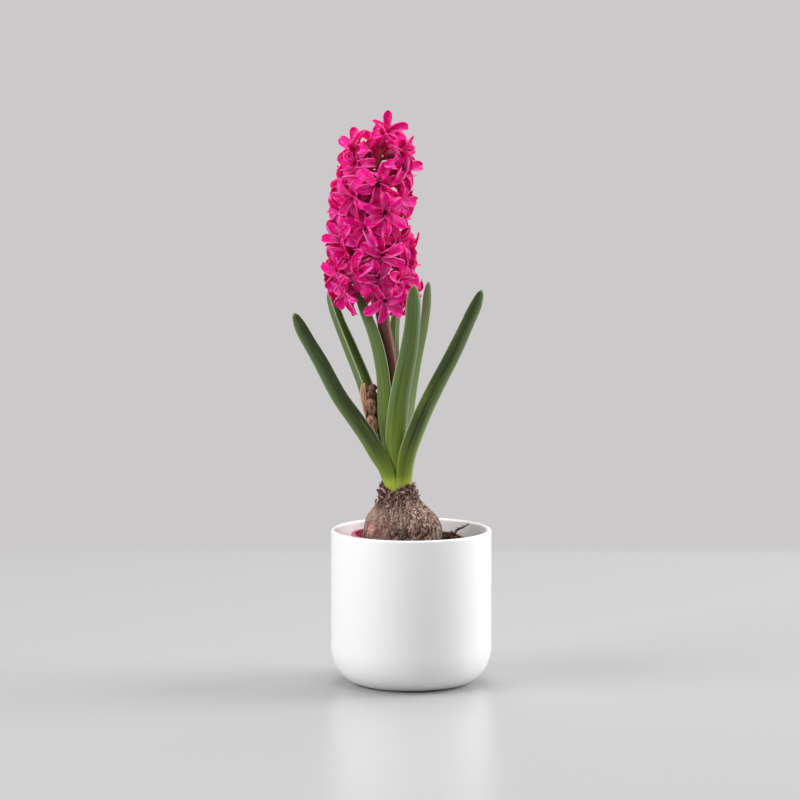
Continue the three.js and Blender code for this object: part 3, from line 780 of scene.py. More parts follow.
@dataclass(frozen=True)
class LeafSkin:
    """Waxy leaf: fine lengthwise streaks, a yellow-green foot, painted shade, sheen and rim highlights, a
    pale tip.
    """

    foot: Colour = (0.38, 0.46, 0.045)
    low: Colour = (0.2, 0.285, 0.024)
    middle: Colour = (0.165, 0.235, 0.022)
    green: Colour = (0.115, 0.17, 0.028)
    top: Colour = (0.095, 0.138, 0.034)
    inside: Colour = (0.064, 0.13, 0.0)
    # dark colour: the dark streaks, and the painted shade of the shaded side
    dark: Colour = (0.03, 0.04, 0.01)
    cool: Colour = (0.1, 0.2, 0.085)
    # bloom colour: painted sheen on the lit side and by the margins, and pale hair streaks
    bloom_and_sheen: Colour = (0.27, 0.335, 0.21)
    # margin colour: painted rim highlights on the leaf's edges
    margin: Colour = (0.6, 0.66, 0.44)
    tip: Colour = (0.4, 0.46, 0.13)

    def made(self) -> bpy.types.Material:
        """Greens the leaf along its length, with its inner face, pale streaks, and painted shade, sheen and
        rim highlights.

        Returns:
            The material.
        """
        s = Shading("waxy_leaf", Subsurface_Weight=0.06, Subsurface_Scale=0.002, Specular_IOR_Level=0.24)
        around, along = s.across_and_along()
        across = 1.0 - abs(around * 4.0 - 2.0)
        edge = abs(across)
        tint, age = s.attribute("tint"), s.attribute("age")
        lit = across * s.attribute("lit")
        streak = s.mapped(across * 6.0, along * 1.3, tint * 7.0)
        hair = s.mapped(across * 30.0, along * 3.0, tint * 3.0, detail=3, rough=0.65)
        wax = s.mapped(across * 2.0, along * 5.0, tint * 5.0, rough=0.55)
        reach = along + (streak - 0.5) * 0.25 + age * along.rise(0.0, 0.12) * 0.3
        inner = around.rise(0.49, 0.51)
        # painted shade: darkens the side away from the lit side, by the leaf's darkness, fading out at its
        # foot
        shaded = lit.rise(0.55, -0.35) * (1.0 - inner) * along.rise(0.0, 0.34)
        # painted light: pales the lit side and the margins, as a sheen
        lit_sheen = lit.rise(0.2, 0.7) * 0.5 + edge.rise(0.75, 0.97) * (lit.rise(-0.1, 0.4) * 0.6 + 0.15)
        # painted highlight: a pale rim on the lit margin, low on the leaf
        rim = lit.rise(0.5, 0.95) * along.rise(0.5, 0.1) * 0.5
        green = s.layered(
            s.ramp(reach, (0.0, self.foot), (0.14, self.low), (0.4, self.middle), (0.66, self.green),
                   (1.0, self.top)),
            (wax.rise(0.4, 0.62) * along.rise(0.08, 0.35) * 0.5, self.cool),
            (inner * along.rise(0.1, 0.35) * 0.95, self.inside),
            # the dark streaks and the painted shade
            (streak.rise(0.52, 0.34) * 0.45 + shaded * age * wax.rise(0.25, 0.5) * 0.85, self.dark),
            # painted sheen with the pale hair streaks, weaker on the inner face and on darker leaves
            ((lit_sheen + hair.rise(0.5, 0.72) * 0.4) * (1.0 - inner * 0.7) * (1.0 - age * 0.7), self.bloom_and_sheen),
            # painted highlights: pale lines along both margins, and the lit rim
            (edge.rise(0.91, 0.99) * along.rise(0.02, 0.3) * 0.8 + rim, self.margin),
            (along.rise(0.98, 1.0) * 0.7, self.tip),
        )
        return s.finished(green, 0.38 + wax * 0.16 + hair * 0.12, hair * 0.6 + streak * 0.8, 0.4, 0.7)


@dataclass(frozen=True)
class StalkSkin:
    """Smooth stem, green to purple-brown, with fine pale streaks."""

    name: str
    foot: Colour
    middle: Colour
    top: Colour
    pale: Colour

    def made(self) -> bpy.types.Material:
        """Streaks the stem along its length.

        Returns:
            The material.
        """
        s = Shading(self.name, Subsurface_Weight=0.08, Subsurface_Scale=0.002)
        around, along = s.across_and_along()
        streak = s.mapped(around * 26.0, along * 7.0)
        tone = s.ramp(along, (0.0, self.foot), (0.35, self.middle), (0.8, self.top))
        return s.finished(s.blend(streak.rise(0.52, 0.8) * 0.6, tone, self.pale), 0.38 + streak * 0.2,
                          streak, 0.25, 0.6)


@dataclass(frozen=True)
class Petal:
    """Hot pink petal: fine veins, painted sheen and rim highlights, a darker middle, crimson end and darker
    throat.
    """

    pink: Colour = (0.93, 0.0, 0.27)
    deep: Colour = (0.66, 0.0, 0.17)
    pale: Colour = (1.0, 0.23, 0.72)
    # margin colour: painted rim highlights
    margin: Colour = (1.0, 0.34, 0.74)
    throat: Colour = (0.45, 0.0, 0.14)
    red: Colour = (0.6, 0.0, 0.08)

    def made(self) -> bpy.types.Material:
        """Layers the petal: deep and pale pink, veins, painted sheen, a darker middle, painted rim
        highlights, end and throat.

        Returns:
            The material.
        """
        s = Shading("petal", Subsurface_Weight=0.35, Subsurface_Scale=0.002, Specular_IOR_Level=0.06,
                    Sheen_Weight=0.16, Sheen_Roughness=0.35, Sheen_Tint=(1, 0.3, 0.75, 1))
        across, along = s.across_and_along()
        edge = abs(across * 2.0 - 1.0)
        tint, shade = s.attribute("tint"), s.attribute("shade")
        vein = s.mapped(across * 9.0, along * 1.1, tint * 11.0 + shade * 5.0, detail=3)
        sheen_patches = s.mapped(across * 2.2, along * 1.6, tint * 17.0 + shade * 9.0, detail=2, rough=0.55)
        cloud = s.noise(s.place(), 170, 3)
        tone = s.layered(
            self.deep,
            ((tint * 0.35 + shade * 0.65 + cloud * 0.6 - 0.25).rise(0.0, 1.0), self.pink),
            (along.rise(0.75, 0.1) * (shade - 0.1) * cloud.rise(0.3, 0.6) * 0.7, self.pale),
            # painted sheen: paler patches away from the middle of the petal
            (sheen_patches.rise(0.52, 0.68) * edge.rise(0.0, 0.25) * 0.6, self.pale),
            (vein.rise(0.48, 0.7) * (tint * 0.3 + cloud * 0.4 - 0.2), self.pale),
            # darker along the middle: the petal's own stripe, deepened as painted shade in its crease
            (edge.rise(0.2, 0.0) * 0.3, self.deep),
            # painted highlights: pale rims along parts of the edges
            (edge.rise(0.78, 1.0) * along.rise(0.15, 0.4) * cloud.rise(0.48, 0.62) * 0.5, self.margin),
            (along.rise(0.86, 1.0) * 0.5, self.red),
            (along.rise(0.07, 0.0), self.throat),
        )
        return s.finished(tone, 0.5 - vein * 0.15, vein, 0.2, 0.5)


@dataclass(frozen=True)
class FloorFinish:
    """Pale satin table top that fades out at its far edge."""

    colour: Colour = (0.475, 0.475, 0.479)
    cloudiness: float = 0.98
    far_edge: float = 626
    fade: float = 26

    def made(self) -> bpy.types.Material:
        """Clouds the table top and fades it out.

        Returns:
            The material.
        """
        s = Shading("table_top", Roughness=0.3, Specular_IOR_Level=0.35)
        cloudy = dimmed(self.colour, self.cloudiness)
        s.feed("Base Color", s.blend(s.noise(s.place(), 3, 2), self.colour, cloudy))
        s.feed("Alpha", s.mm("Y").rise(self.far_edge + self.fade, self.far_edge - self.fade))
        return s.material


# The pieces of the plant and its pots

def dress(piece: bpy.types.Object, node: str, material: bpy.types.Material | None = None,
          angle: float = 60) -> None:
    """Shades a finished piece smooth, gives it its material and its body, and hides the node that it stands
    for.

    Args:
        piece: The piece.
        node: The node that it stands for.
        material: Its material, or None where its parts have theirs.
        angle: The angle between two faces past which their edge stays hard.
    """
    pick([piece])
    bpy.ops.object.shade_smooth_by_angle(angle=math.radians(angle))
    if material:
        piece.data.materials.clear()
        piece.data.materials.append(material)
    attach(piece, BODY)
    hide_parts(node)
    LOG.info("%s: %d triangles", piece.name, sum(len(p.vertices) - 2 for p in piece.data.polygons))


@dataclass
class Pot:
    """White pot with a round lip and a corner that curves in to its foot."""

    wall: float = 3.5
    floor: float = 6
    corner: tuple[float, float] = (23, 28)
    inner_corner: tuple[float, float] = (22, 26)
    flat: float = 3  # how far the flat foot ends before the corner starts
    steps: int = 128

    def build(self) -> None:
        """Spins the pot to the size of its node."""
        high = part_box("pot")[1] / MM
        radius, height = round(high.x, 2), round(high.z, 2)
        lip = self.wall / 2
        inside = radius - self.wall
        bend, inner_bend = self.corner[1], self.floor + self.inner_corner[1]
        profile = [
            (0, 0),
            (radius - self.corner[0] - self.flat, 0),
            *arc((radius - self.corner[0], bend), self.corner, -90, 0, 18),
            (radius, (height + bend) / 2),
            *arc((radius - lip, height - lip), (lip, lip), 0, 180, 10),
            (inside, (height + inner_bend) / 2),
            *arc((inside - self.inner_corner[0], inner_bend), self.inner_corner, 0, -90, 12),
            (0, self.floor),
        ]
        dress(spun("white_pot", profile, self.steps), "pot", Ceramic().made(), 40)


@dataclass
class NurseryPot:
    """Thin tapered cup with a flared rim and drain holes, loose inside the white pot."""

    centre: tuple[float, float] = (-2.2, 0)
    base: float = 6.3
    top_radius: float = 41.2
    bottom_radius: float = 31
    height: float = 101
    wall: float = 1.2
    foot: float = 2
    rim_out: float = 1.6
    rim_height: float = 6
    chamfer: float = 0.3
    holes: int = 5
    hole_radius: float = 4
    hole_circle: float = 18
    lift: float = 1.8
    lift_from: float = 0.5  # share of the height above which the wall is stretched up
    left_lift: float = 3.6  # how much further the soft rim is pushed up on its left
    steps: int = 96

    def bore(self, height: float) -> float:
        """The inner radius at a height above the base."""
        return self.bottom_radius - self.wall + (self.top_radius - self.bottom_radius) * height / self.height

    def build(self) -> None:
        """Spins the cup, rolls its rim, drills its floor and pushes it up in the pot."""
        flare = self.top_radius + self.rim_out
        step = self.height - self.rim_height
        roll = self.wall / 2
        profile = [
            (0, 0),
            (self.bottom_radius - self.foot, 0),
            (self.bottom_radius, self.foot),
            (self.top_radius - roll, step),
            (flare - self.chamfer, step + self.rim_out - self.chamfer),
            (flare, step + self.rim_out),
            *arc((flare - roll, self.height - roll), (roll, roll), 0, 90, 4),
            (self.bore(self.height), self.height),
            (self.bore(self.wall), self.wall),
            (0, self.wall),
        ]
        cup = spun("nursery_cup", profile, self.steps)
        drills = []
        for at in ring(up(0), self.hole_circle, compass(self.holes)):
            bpy.ops.mesh.primitive_cylinder_add(vertices=24, radius=self.hole_radius * MM,
                                                depth=4 * self.wall * MM, location=at * MM)
            drills.append(bpy.context.object)
        drill = join("drill", drills)
        finish_with(cup, "BOOLEAN", operation="DIFFERENCE", object=drill, solver="EXACT")
        remove([drill])
        for vertex in cup.data.vertices:
            left = ease(-vertex.co.x / MM / self.top_radius, -0.3, 1)
            lift = self.lift + self.left_lift * left
            vertex.co.z += lift * ease(vertex.co.z / MM / self.height, self.lift_from, 1) * MM
        cup.data.transform(Matrix.Translation(Vector((*self.centre, self.base)) * MM))
        dress(cup, "nursery_pot", Plastic().made(), 35)


@dataclass(frozen=True)
class BulbShape:
    """The sizes of the bulb, which the mix and the leaves share."""

    centre: tuple[float, float] = (-6.5, 0)
    neck_centre: tuple[float, float] = (-10, 0)
    lean_from: float = 117
    neck_top: float = 150
    socket_radius: float = 11.9
    socket_floor: float = 139.5
    socket_middle: float = 145
    socket_lip: float = 0.4  # how far below the top of the neck the socket starts
    # the cleft in the torn edge of the neck: azimuth, half angle and depth
    cleft: tuple[float, float, float] = (251, 27, 4.6)
    tear: float = 1.1
    torn_heights: Range = (139, 149)
    outline: tuple[tuple[float, float], ...] = (
        (9, 83), (15, 85.5), (22.5, 92), (27, 100), (29, 109), (28.9, 116), (27.6, 122), (24.3, 127.4),
        (19.5, 132.8), (15.3, 137.8), (13.1, 142.5), (12.6, 146), (12.5, 150),
    )

    @cached_property
    def side(self) -> tuple[np.ndarray, np.ndarray]:
        """Heights and radii of a smooth line through the outline."""
        samples = Line([(radius, 0, z) for radius, z in self.outline]).samples
        return samples[:, 2], samples[:, 0]

    def axis(self, z: float) -> Vector:
        """The centre of the bulb at a height: upright below and leaning towards the neck above."""
        lean = ease(z, self.lean_from, self.neck_top)
        return Vector((mix(self.centre[0], self.neck_centre[0], lean), 0, z))

    def radius(self, z: float) -> float:
        """The outline's radius at a height."""
        return float(np.interp(z, *self.side))

    def dip(self, turn: float, z: float) -> float:
        """How far the torn edge of the neck hangs lower in one direction.

        Args:
            turn: The azimuth.
            z: The height.

        Returns:
            The depth, which is 0 below the torn edge.
        """
        azimuth, half, depth = self.cleft
        away = abs((turn - azimuth + 180) % 360 - 180) / half
        torn = self.tear * rough(heading(turn) * 5, 1.2) - 0.4
        return (depth * math.exp(-away * away) + torn) * ease(z, *self.torn_heights)

    def round_neck(self, turn: float, radius: float, z: float) -> Vector:
        """A point round the neck's own axis, let down with its torn edge."""
        return Vector((*self.neck_centre, z - self.dip(turn, z))) + heading(turn) * radius


@dataclass
class PottingMix:
    """Crumbly mix in the nursery pot, hollowed for the bulb, with loose crumbs and fibres on it."""

    cup: NurseryPot
    bulb: BulbShape
    surface: float = 105.2
    heaped: float = 2.6  # how much higher it lies on the right
    heap_sides: Range = (-15, 25)
    hollow: Range = (1.03, 0.2)  # how much wider than the bulb its hollow is: a factor and a gap
    sunk: float = 0.8  # how much lower it lies at the cup
    clearance: float = 0.3
    relief: float = 1.6
    crumbs: int = 240
    crumb_sizes: Range = (0.25, 1.9)  # the smallest, and how much larger the others are at most
    fibres: int = 46
    fibre_radius: float = 0.14
    columns: int = 120
    rings: int = 14
    seed: int = 5

    def point(self, turn: float, share: float) -> Vector:
        """A point of the top.

        Args:
            turn: The azimuth.
            share: How far it lies from the bulb, 0, to the cup, 1.

        Returns:
            The point.
        """
        wider, gap = self.hollow
        inner = self.bulb.axis(self.surface) + heading(turn) * (self.bulb.radius(self.surface) * wider + gap)
        wall = self.cup.bore(self.surface - self.cup.base) - self.clearance
        at = inner.lerp(Vector((*self.cup.centre, 0)) + heading(turn) * wall, share)
        lumps = rough(at, 5) + 0.6 * rough(at + Vector((90, 0, 0)), 1.8)
        at.z = self.surface + self.relief * lumps * (1 - 0.5 * share) - self.sunk * ease(share, 0.85, 1)
        at.z += self.heaped * ease(at.x, *self.heap_sides)
        return at

    def heap(self) -> bpy.types.Object:
        """Builds the body of the mix, from its floor up over its lumpy top and down under the bulb.

        Returns:
            The heap.
        """
        turns = compass(self.columns)
        low = self.cup.wall + self.clearance
        floor = Vector((*self.cup.centre, self.cup.base + low))
        wall = self.cup.bore(low) - self.clearance
        rows = [ring(floor, wall * share, turns) for share in (0.3, 1)]
        rows += [[self.point(t, 1 - i / self.rings) for t in turns] for i in range(self.rings + 1)]
        rows += [ring(self.bulb.axis(z - 0.6), radius * 1.045 + 0.6, turns)
                 for radius, z in reversed(self.bulb.outline) if z < self.surface]
        made = surface("potting_mix_heap", rows, around=True)
        paint(made, "tint", 0.15)
        return made

    def crumb(self, pattern: bpy.types.Object, draw: random.Random) -> bpy.types.Object:
        """Lays a squashed crumb on the top, sunk in a little.

        Args:
            pattern: The lumpy ball that is copied.
            draw: The source of its place and size.

        Returns:
            The crumb.
        """
        at = self.point(draw.uniform(0, 360), draw.uniform(0.03, 0.97))
        smallest, more = self.crumb_sizes
        size = draw.uniform(0.35, 1.0) ** 2 * more + smallest
        angle = draw.uniform(0, 6.28)
        spin = Matrix.Rotation(angle, 4, Vector((draw.random(), draw.random(), 1)).normalized())
        squash = Matrix.Diagonal((size, size * draw.uniform(0.6, 1), size * draw.uniform(0.5, 0.9), 1))
        made = copy_of(pattern, Matrix.Translation(at + up(size * 0.25)) @ spin @ squash)
        paint(made, "tint", draw.random() ** 2)
        return made

    def fibre(self, draw: random.Random) -> bpy.types.Object:
        """Lays a bent fibre on the top.

        Args:
            draw: The source of its place and bend.

        Returns:
            The fibre.
        """
        at = self.point(draw.uniform(0, 360), draw.uniform(0.08, 0.9)) + up(0.4)
        way = heading(draw.uniform(0, 360)) * draw.uniform(1.5, 4)
        lift = up(draw.uniform(0.2, 1.6))
        bend = heading(draw.uniform(0, 360)) * 0.8
        line = Line([at - way, at + bend + lift, at + way])
        made = tube("fibre", line, lambda u, _: self.fibre_radius, 5, 5)
        paint(made, "tint", draw.uniform(0.6, 1))
        return made

    def build(self) -> None:
        """Builds the heap and scatters the crumbs and fibres."""
        heap = self.heap()
        pattern = ball(2)
        for vertex in pattern.data.vertices:
            vertex.co *= 1 + 0.35 * rough(vertex.co / MM + Vector((3, 1, 7)), 0.9)
        draw = random.Random(self.seed)
        loose = [self.crumb(pattern, draw) for _ in range(self.crumbs)]
        loose += [self.fibre(draw) for _ in range(self.fibres)]
        remove([pattern])
        dress(join("potting_mix_top", [heap, *loose]), "potting_mix", Soil().made())


@dataclass
class Bulb:
    """The bulb with its wrinkled tunic and the ragged scales round its neck."""

    shape: BulbShape
    columns: int = 300
    rings: int = 130
    wrinkle: float = 0.0176
    smooth_heights: Range = (136, 146)
    # rows of scales: height of the foot, radius, count, length and lean of the tips
    scale_rows: tuple[tuple[float, float, int, float, float], ...] = (
        (147.6, 12.0, 28, 3.2, -2),
        (145.4, 12.2, 36, 4.0, 6),
        (142.8, 12.5, 40, 4.0, 12),
        (140.2, 13.4, 40, 4.0, 10),
        (137.4, 15.0, 36, 3.8, -6),
        (134.8, 17.4, 24, 3.4, -24),
    )
    # how the scales differ: in height, lean, roll, curl, breadth and share of their length
    uneven: float = 1.2
    leans: Range = (-14, 26)
    roll: float = 62
    curls: Range = (1.2, 2.8)
    breadths: Range = (1.1, 3.2)
    lengths: Range = (0.6, 1.4)
    scale_thickness: float = 0.07
    forms: int = 7
    seed: int = 11

    def skin(self, turn: float, z: float) -> tuple[Vector, float]:
        """A point of the skin.

        Args:
            turn: The azimuth.
            z: The height.

        Returns:
            The point, and how far it stands out, from 0 to 1.
        """
        angle = math.radians(turn)
        out = heading(turn)

        def lumps(girth: float, climb: float, size: float, octaves: int, shift: Point = (0, 0, 0)) -> float:
            """Noise round a cylinder of a girth, with the heights scaled by a climb."""
            return rough(Vector((out.x * girth, out.y * girth, z * climb)) + Vector(shift), size, octaves)

        fade = 1 - ease(z, *self.smooth_heights)
        fold = math.sin(7 * angle + z / 9) + 0.7 * math.sin(12 * angle - z / 6)
        fibre = lumps(26, 0.22, 1.5, 4)
        crease = 1 - 2.2 * abs(lumps(26, 0.5, 5, 3, (40, 0, 0)))
        flake = ease(lumps(22, 0.7, 9, 3, (0, 70, 0)), 0.08, 0.2)
        relief = 0.34 * fibre - 0.5 * ease(crease, 0.72, 1) + 0.35 * flake
        radius = self.shape.radius(z) * (1 + self.wrinkle * fold * fade) + relief * mix(0.7, 1, fade)
        at = self.shape.axis(z) + out * radius - up(self.shape.dip(turn, z))
        return at, 0.5 + 0.5 * fibre + 0.15 * flake

    def body(self) -> bpy.types.Object:
        """Builds the skin, rolled in at the neck and down the socket that the leaves grow from.

        Returns:
            The body.
        """
        shape, turns = self.shape, compass(self.columns)
        foot = shape.outline[0][1]
        heights = [mix(foot, shape.neck_top, i / self.rings) for i in range(self.rings + 1)]
        skin = [[self.skin(turn, z) for turn in turns] for z in heights]
        socket = [(shape.socket_radius, shape.neck_top - shape.socket_lip),
                  (shape.socket_radius, shape.socket_middle),
                  (shape.socket_radius, shape.socket_floor), (2, shape.socket_floor)]
        rows = [[point for point, _ in row] for row in skin]
        rows += [[shape.round_neck(turn, radius, z) for turn in turns] for radius, z in socket]
        ridges = [ridge for row in skin for _, ridge in row] + [0.3] * (len(turns) * len(socket))
        made = surface("bulb_body", rows, around=True)
        paint(made, "ridge", ridges)
        return made

    def husk(self, form: int) -> bpy.types.Object:
        """Builds one torn papery scale, its foot at the origin, rising along +Z and facing +X.

        Args:
            form: The number that its tear and curl come from.

        Returns:
            The scale, with a height of about 1.
        """
        rows = []
        for v in (j / 9 for j in range(10)):
            half = 0.5 * (1 - 0.72 * v**1.6) + 0.08 * rough(Vector((form * 3.1, v * 4, 0)), 1)
            sway = 0.25 * v * math.sin(form * 4.1)
            row = []
            for u in (i / 3.5 - 1 for i in range(8)):
                tear = ease(v, 0.45, 1) * 0.55 * rough(Vector((u * 2.4, form * 5.3, v)), 0.8)
                curl = 0.5 * v * v * math.sin(form * 2.3 + 1.5 * u)
                curl += 0.14 * rough(Vector((u, v * 4, form)), 0.6)
                bow = 0.3 * (1 - u * u) * (1 - 0.5 * v)
                row.append(Vector((curl + bow, (u + sway) * half, v * (1 + tear))))
            rows.append(row)
        husk = surface("husk", rows)
        finish_with(husk, "SOLIDIFY", thickness=self.scale_thickness * MM, offset=0)
        return husk

    def scales(self) -> list[bpy.types.Object]:
        """Lays the rows of scales round the neck.

        Returns:
            The scales.
        """
        draw = random.Random(self.seed)
        forms = [self.husk(k) for k in range(self.forms)]
        made = []
        for foot, radius, count, length, lean in self.scale_rows:
            for i in range(count):
                turn = 360 * (i + draw.uniform(-0.4, 0.4)) / count + foot * 7
                at = self.shape.round_neck(turn, radius - 0.5, foot + draw.uniform(-self.uneven, self.uneven))
                tip = turned(lean + draw.uniform(*self.leans), "Y")
                tip = tip @ turned(draw.uniform(-self.roll, self.roll), "X")
                size = (draw.uniform(*self.curls), draw.uniform(*self.breadths),
                        length * draw.uniform(*self.lengths), 1)
                place = Matrix.Translation(at) @ turned(turn, "Z") @ tip @ Matrix.Diagonal(size)
                made.append(copy_of(forms[draw.randrange(self.forms)], place))
                paint(made[-1], "tint", draw.random() ** 2)
        remove(forms)
        return made

    def build(self) -> None:
        """Builds the body and its ruff of scales."""
        dress(self.body(), "bulb", Tunic().made())
        papery = Husk("neck_scale", (0.03, 0.007, 0.01), (0.14, 0.045, 0.046), (0.8, 0.5, 0.42))
        dress(join("bulb_neck_scales", self.scales()), "bulb", papery.made())


@dataclass(frozen=True)
class LeafShape:
    """One leaf: its sheath (radius, azimuth, half angle), how its outer face turns, and its blade.

    Its darkness runs from 0, yellow-green, to 1, dark, with the most painted shade on the side away from its
    lit side.
    Its lit side runs from -1, the left of its outer face, to 1, the right, and is paled with painted light.
    """

    name: str
    sheath: tuple[float, float, float]
    facing: tuple[float, float, float]
    width: float
    channel: float
    age: float
    lit: float
    blade: tuple[Point, ...]


@dataclass
class Leaves:
    """The seven leaves, each a channelled strap that grows out of the sheath in the bulb's neck."""

    bulb: BulbShape
    gap: float = 0.3
    sheath_thickness: float = 1.4
    sheath_top: float = 151
    sheath_lead: float = 6
    sheath_blend: float = 0.16
    blade_thickness: float = 2.2
    tip_thickness: float = 0.9
    margin_thickness: float = 0.8
    margin_from: float = 0.88  # share of the half width where the margin starts to round off
    tip_width: float = 0.012
    stations: int = 64
    taper: Stops = ((0, 0.9), (0.1, 1), (0.35, 0.95), (0.7, 0.82), (0.85, 0.7))
    half_shares: tuple[float, ...] = (0.2, 0.42, 0.62, 0.78, 0.9, 0.97, 1)
    shapes: tuple[LeafShape, ...] = (
        LeafShape("leaf_1", (11.3, 231, 34), (240, 246, 254), 15.6, 3.6, 1, -0.7, (
            (-20.2, -10, 163.9), (-26, -12, 174.1), (-32.4, -15, 185.6), (-40.6, -19, 198.5),
            (-54, -26, 218.8), (-67.6, -34, 245.7), (-79.9, -41, 268.3), (-86.2, -44, 282.8))),
        LeafShape("leaf_2", (11.3, 140, 33), (142, 157, 163), 21, 9, 0.1, 0, (
            (-20.4, 9, 168), (-28.6, 14, 196.3), (-36.3, 20, 222.9), (-46.3, 25, 247.7),
            (-56.1, 29, 271.6), (-62.7, 31, 291.3))),
        LeafShape("leaf_3", (6.2, 226, 56), (222, 224, 224), 16.2, 4.2, 0, -1, (
            (-15.2, -4.3, 166), (-18.2, -6.2, 183.1), (-20.8, -8, 198.8), (-21.3, -8.5, 211.6),
            (-22.3, -8, 232.2), (-27.2, -6, 257), (-35, -3, 278.6), (-41.1, -1, 294.2))),
        LeafShape("leaf_4", (6.2, 75, 52), (75, 36, 14), 18.5, 7, 0, 0, (
            (-9.9, 8, 181.9), (-11.4, 14, 211.5), (-12.6, 22, 246), (-11.9, 29, 262),
            (-9.8, 37, 281), (-7.7, 42, 293.5))),
        LeafShape("leaf_5", (7.95, 286, 42), (286, 290, 292), 17.8, 4.2, 0, 0.8, (
            (-8.6, -8.9, 165), (-10.2, -11, 178), (-10.6, -12.2, 187), (-9.3, -14, 204.6),
            (-7.3, -16.5, 220.6), (-4.3, -19.5, 236.6), (-1.2, -23.5, 253), (0.9, -27.5, 269),
            (1.9, -31, 284.9), (1.9, -33, 302.5))),
        LeafShape("leaf_6", (7.95, 20, 42), (22, -16, -40), 15, 4.6, 0, -0.8, (
            (-2.2, 5, 170), (-0.9, 7, 191), (1, 9, 212), (5, 12, 238.8), (8, 14, 254.5),
            (10.4, 16, 267), (12.2, 18, 280.6), (13.2, 19, 300.4))),
        LeafShape("leaf_7", (11.6, 303, 39), (302, 300, 296), 16.2, 3.9, 0.85, 1, (
            (-3.4, -11.4, 165.3), (-1.2, -13.2, 175.8), (2, -14.6, 185.4), (9.8, -16.6, 205.4),
            (18.4, -18.4, 223.7), (32.3, -21, 251.2), (43.7, -23.6, 276.5), (48.7, -24.6, 288),
            (51.9, -25.4, 298.1))),
    )

    @property
    def shares(self) -> list[float]:
        """Shares of the half width from one margin to the other, closer together by the margins."""
        return [*(-share for share in reversed(self.half_shares)), 0, *self.half_shares]

    def width_share(self, station: float) -> float:
        """The blade's width at a station.

        Args:
            station: How far along the blade it is, from 0 to 1.

        Returns:
            The share of its full width.
        """
        start = self.taper[-1][0]
        if station <= start:
            return between(self.taper, station)
        t = (station - start) / (1 - start)
        return self.taper[-1][1] * (1 - t**2.4) ** 0.6 + self.tip_width

    def section(self, centre: Vector, outward: Vector, across: Vector, width: float, channel: float,
                keel: float) -> Row:
        """The closed section of a leaf.

        Args:
            centre: The middle of the channel.
            outward: The direction of its outer face.
            across: The direction of its width.
            width: The chord from margin to margin.
            channel: How deep the outer face curves.
            keel: The thickness in the middle.

        Returns:
            The points of the outer face, then of the inner face back to the first margin.
        """
        half = width / 2
        radius = (half * half + channel * channel) / (2 * channel)
        reach = 2 * math.atan2(channel, half)

        def at(share: float, depth: float) -> Vector:
            """A point of the section.

            Args:
                share: The share of the half width, from -1 to 1.
                depth: How far it lies below the outer face.

            Returns:
                The point.
            """
            angle = reach * share
            x = (radius - depth) * math.sin(angle)
            y = (radius - depth) * math.cos(angle) - radius + channel / 2
            return centre + across * x + outward * y

        outer, inner = [], []
        for share in self.shares:
            thick = mix(keel, min(keel, self.margin_thickness), share * share)
            past = max(0.0, abs(share) - self.margin_from) / (1 - self.margin_from)
            rim = math.sqrt(max(0.0, 1 - past**2))
            outer.append(at(share, thick * 0.5 * (1 - rim)))
            inner.append(at(share, thick * (1 - 0.5 * (1 - rim))))
        return outer + inner[::-1]

    def lay(self, leaf: LeafShape) -> tuple[list[Row], list[float]]:
        """Lays the sections of a leaf, from the socket to its tip.

        Args:
            leaf: The leaf.

        Returns:
            The sections, and how far along the blade each one lies.
        """
        radius, azimuth, wrap = leaf.sheath
        out = heading(azimuth)
        wide = 2 * radius * math.sin(math.radians(wrap))
        deep = radius * (1 - math.cos(math.radians(wrap)))
        foot = Vector((*self.bulb.neck_centre, 0)) + out * (radius - deep / 2)
        heights = (self.bulb.socket_floor + self.gap, self.bulb.socket_middle, self.sheath_top)
        rows = [self.section(foot + up(z), out, heading(azimuth + 90), wide, deep, self.sheath_thickness)
                for z in heights]
        along = [0.0] * len(heights)
        line = Line([foot + up(self.sheath_top - self.sheath_lead), foot + up(self.sheath_top), *leaf.blade])
        start = self.sheath_lead / line.length
        turns = [(k / 2, a) for k, a in enumerate(leaf.facing)]
        for i in range(1, self.stations + 1):
            station = (i / self.stations) ** 0.9
            share = start + (1 - start) * station
            tangent = line.tangent(share)
            outward = heading(between(turns, station))
            outward = (outward - tangent * outward.dot(tangent)).normalized()
            grown = min(1.0, station / self.sheath_blend)
            size = self.width_share(station)
            width, channel = mix(wide, leaf.width * size, grown), mix(deep, leaf.channel * size, grown)
            keel = mix(self.sheath_thickness, mix(self.tip_thickness, self.blade_thickness, size), grown)
            rows.append(self.section(line.at(share), outward, tangent.cross(outward), width,
                                     max(0.05, channel), keel * min(1, 0.15 + size * 3)))
            along.append(station)
        return rows, along

    def build(self) -> None:
        """Builds each leaf with a map that runs round its section and along its blade."""
        material = LeafSkin().made()
        outer = [(s + 1) / 4 for s in self.shares]
        around = [*outer, *[1 - u for u in reversed(outer)], 1.0]
        for index, leaf in enumerate(self.shapes):
            rows, along = self.lay(leaf)
            uv = [[(u, v) for u in around] for v in along]
            piece = surface(f"{leaf.name}_blade", rows, uv, around=True)
            paint(piece, "tint", (index * GOLDEN) % 1)
            paint(piece, "age", leaf.age)
            paint(piece, "lit", leaf.lit)
            dress(piece, leaf.name, material)


class FlowerKind(Enum):
    """How far a floret has opened: the lean of its petals and the curl of their ends, in degrees."""

    BUD = (-56, -70)
    BELL = (-30, -12)
    CUP = (-18, 2)
    OPEN = (-5, 26)
    STAR = (5, 40)
    ROLLED = (12, 52)


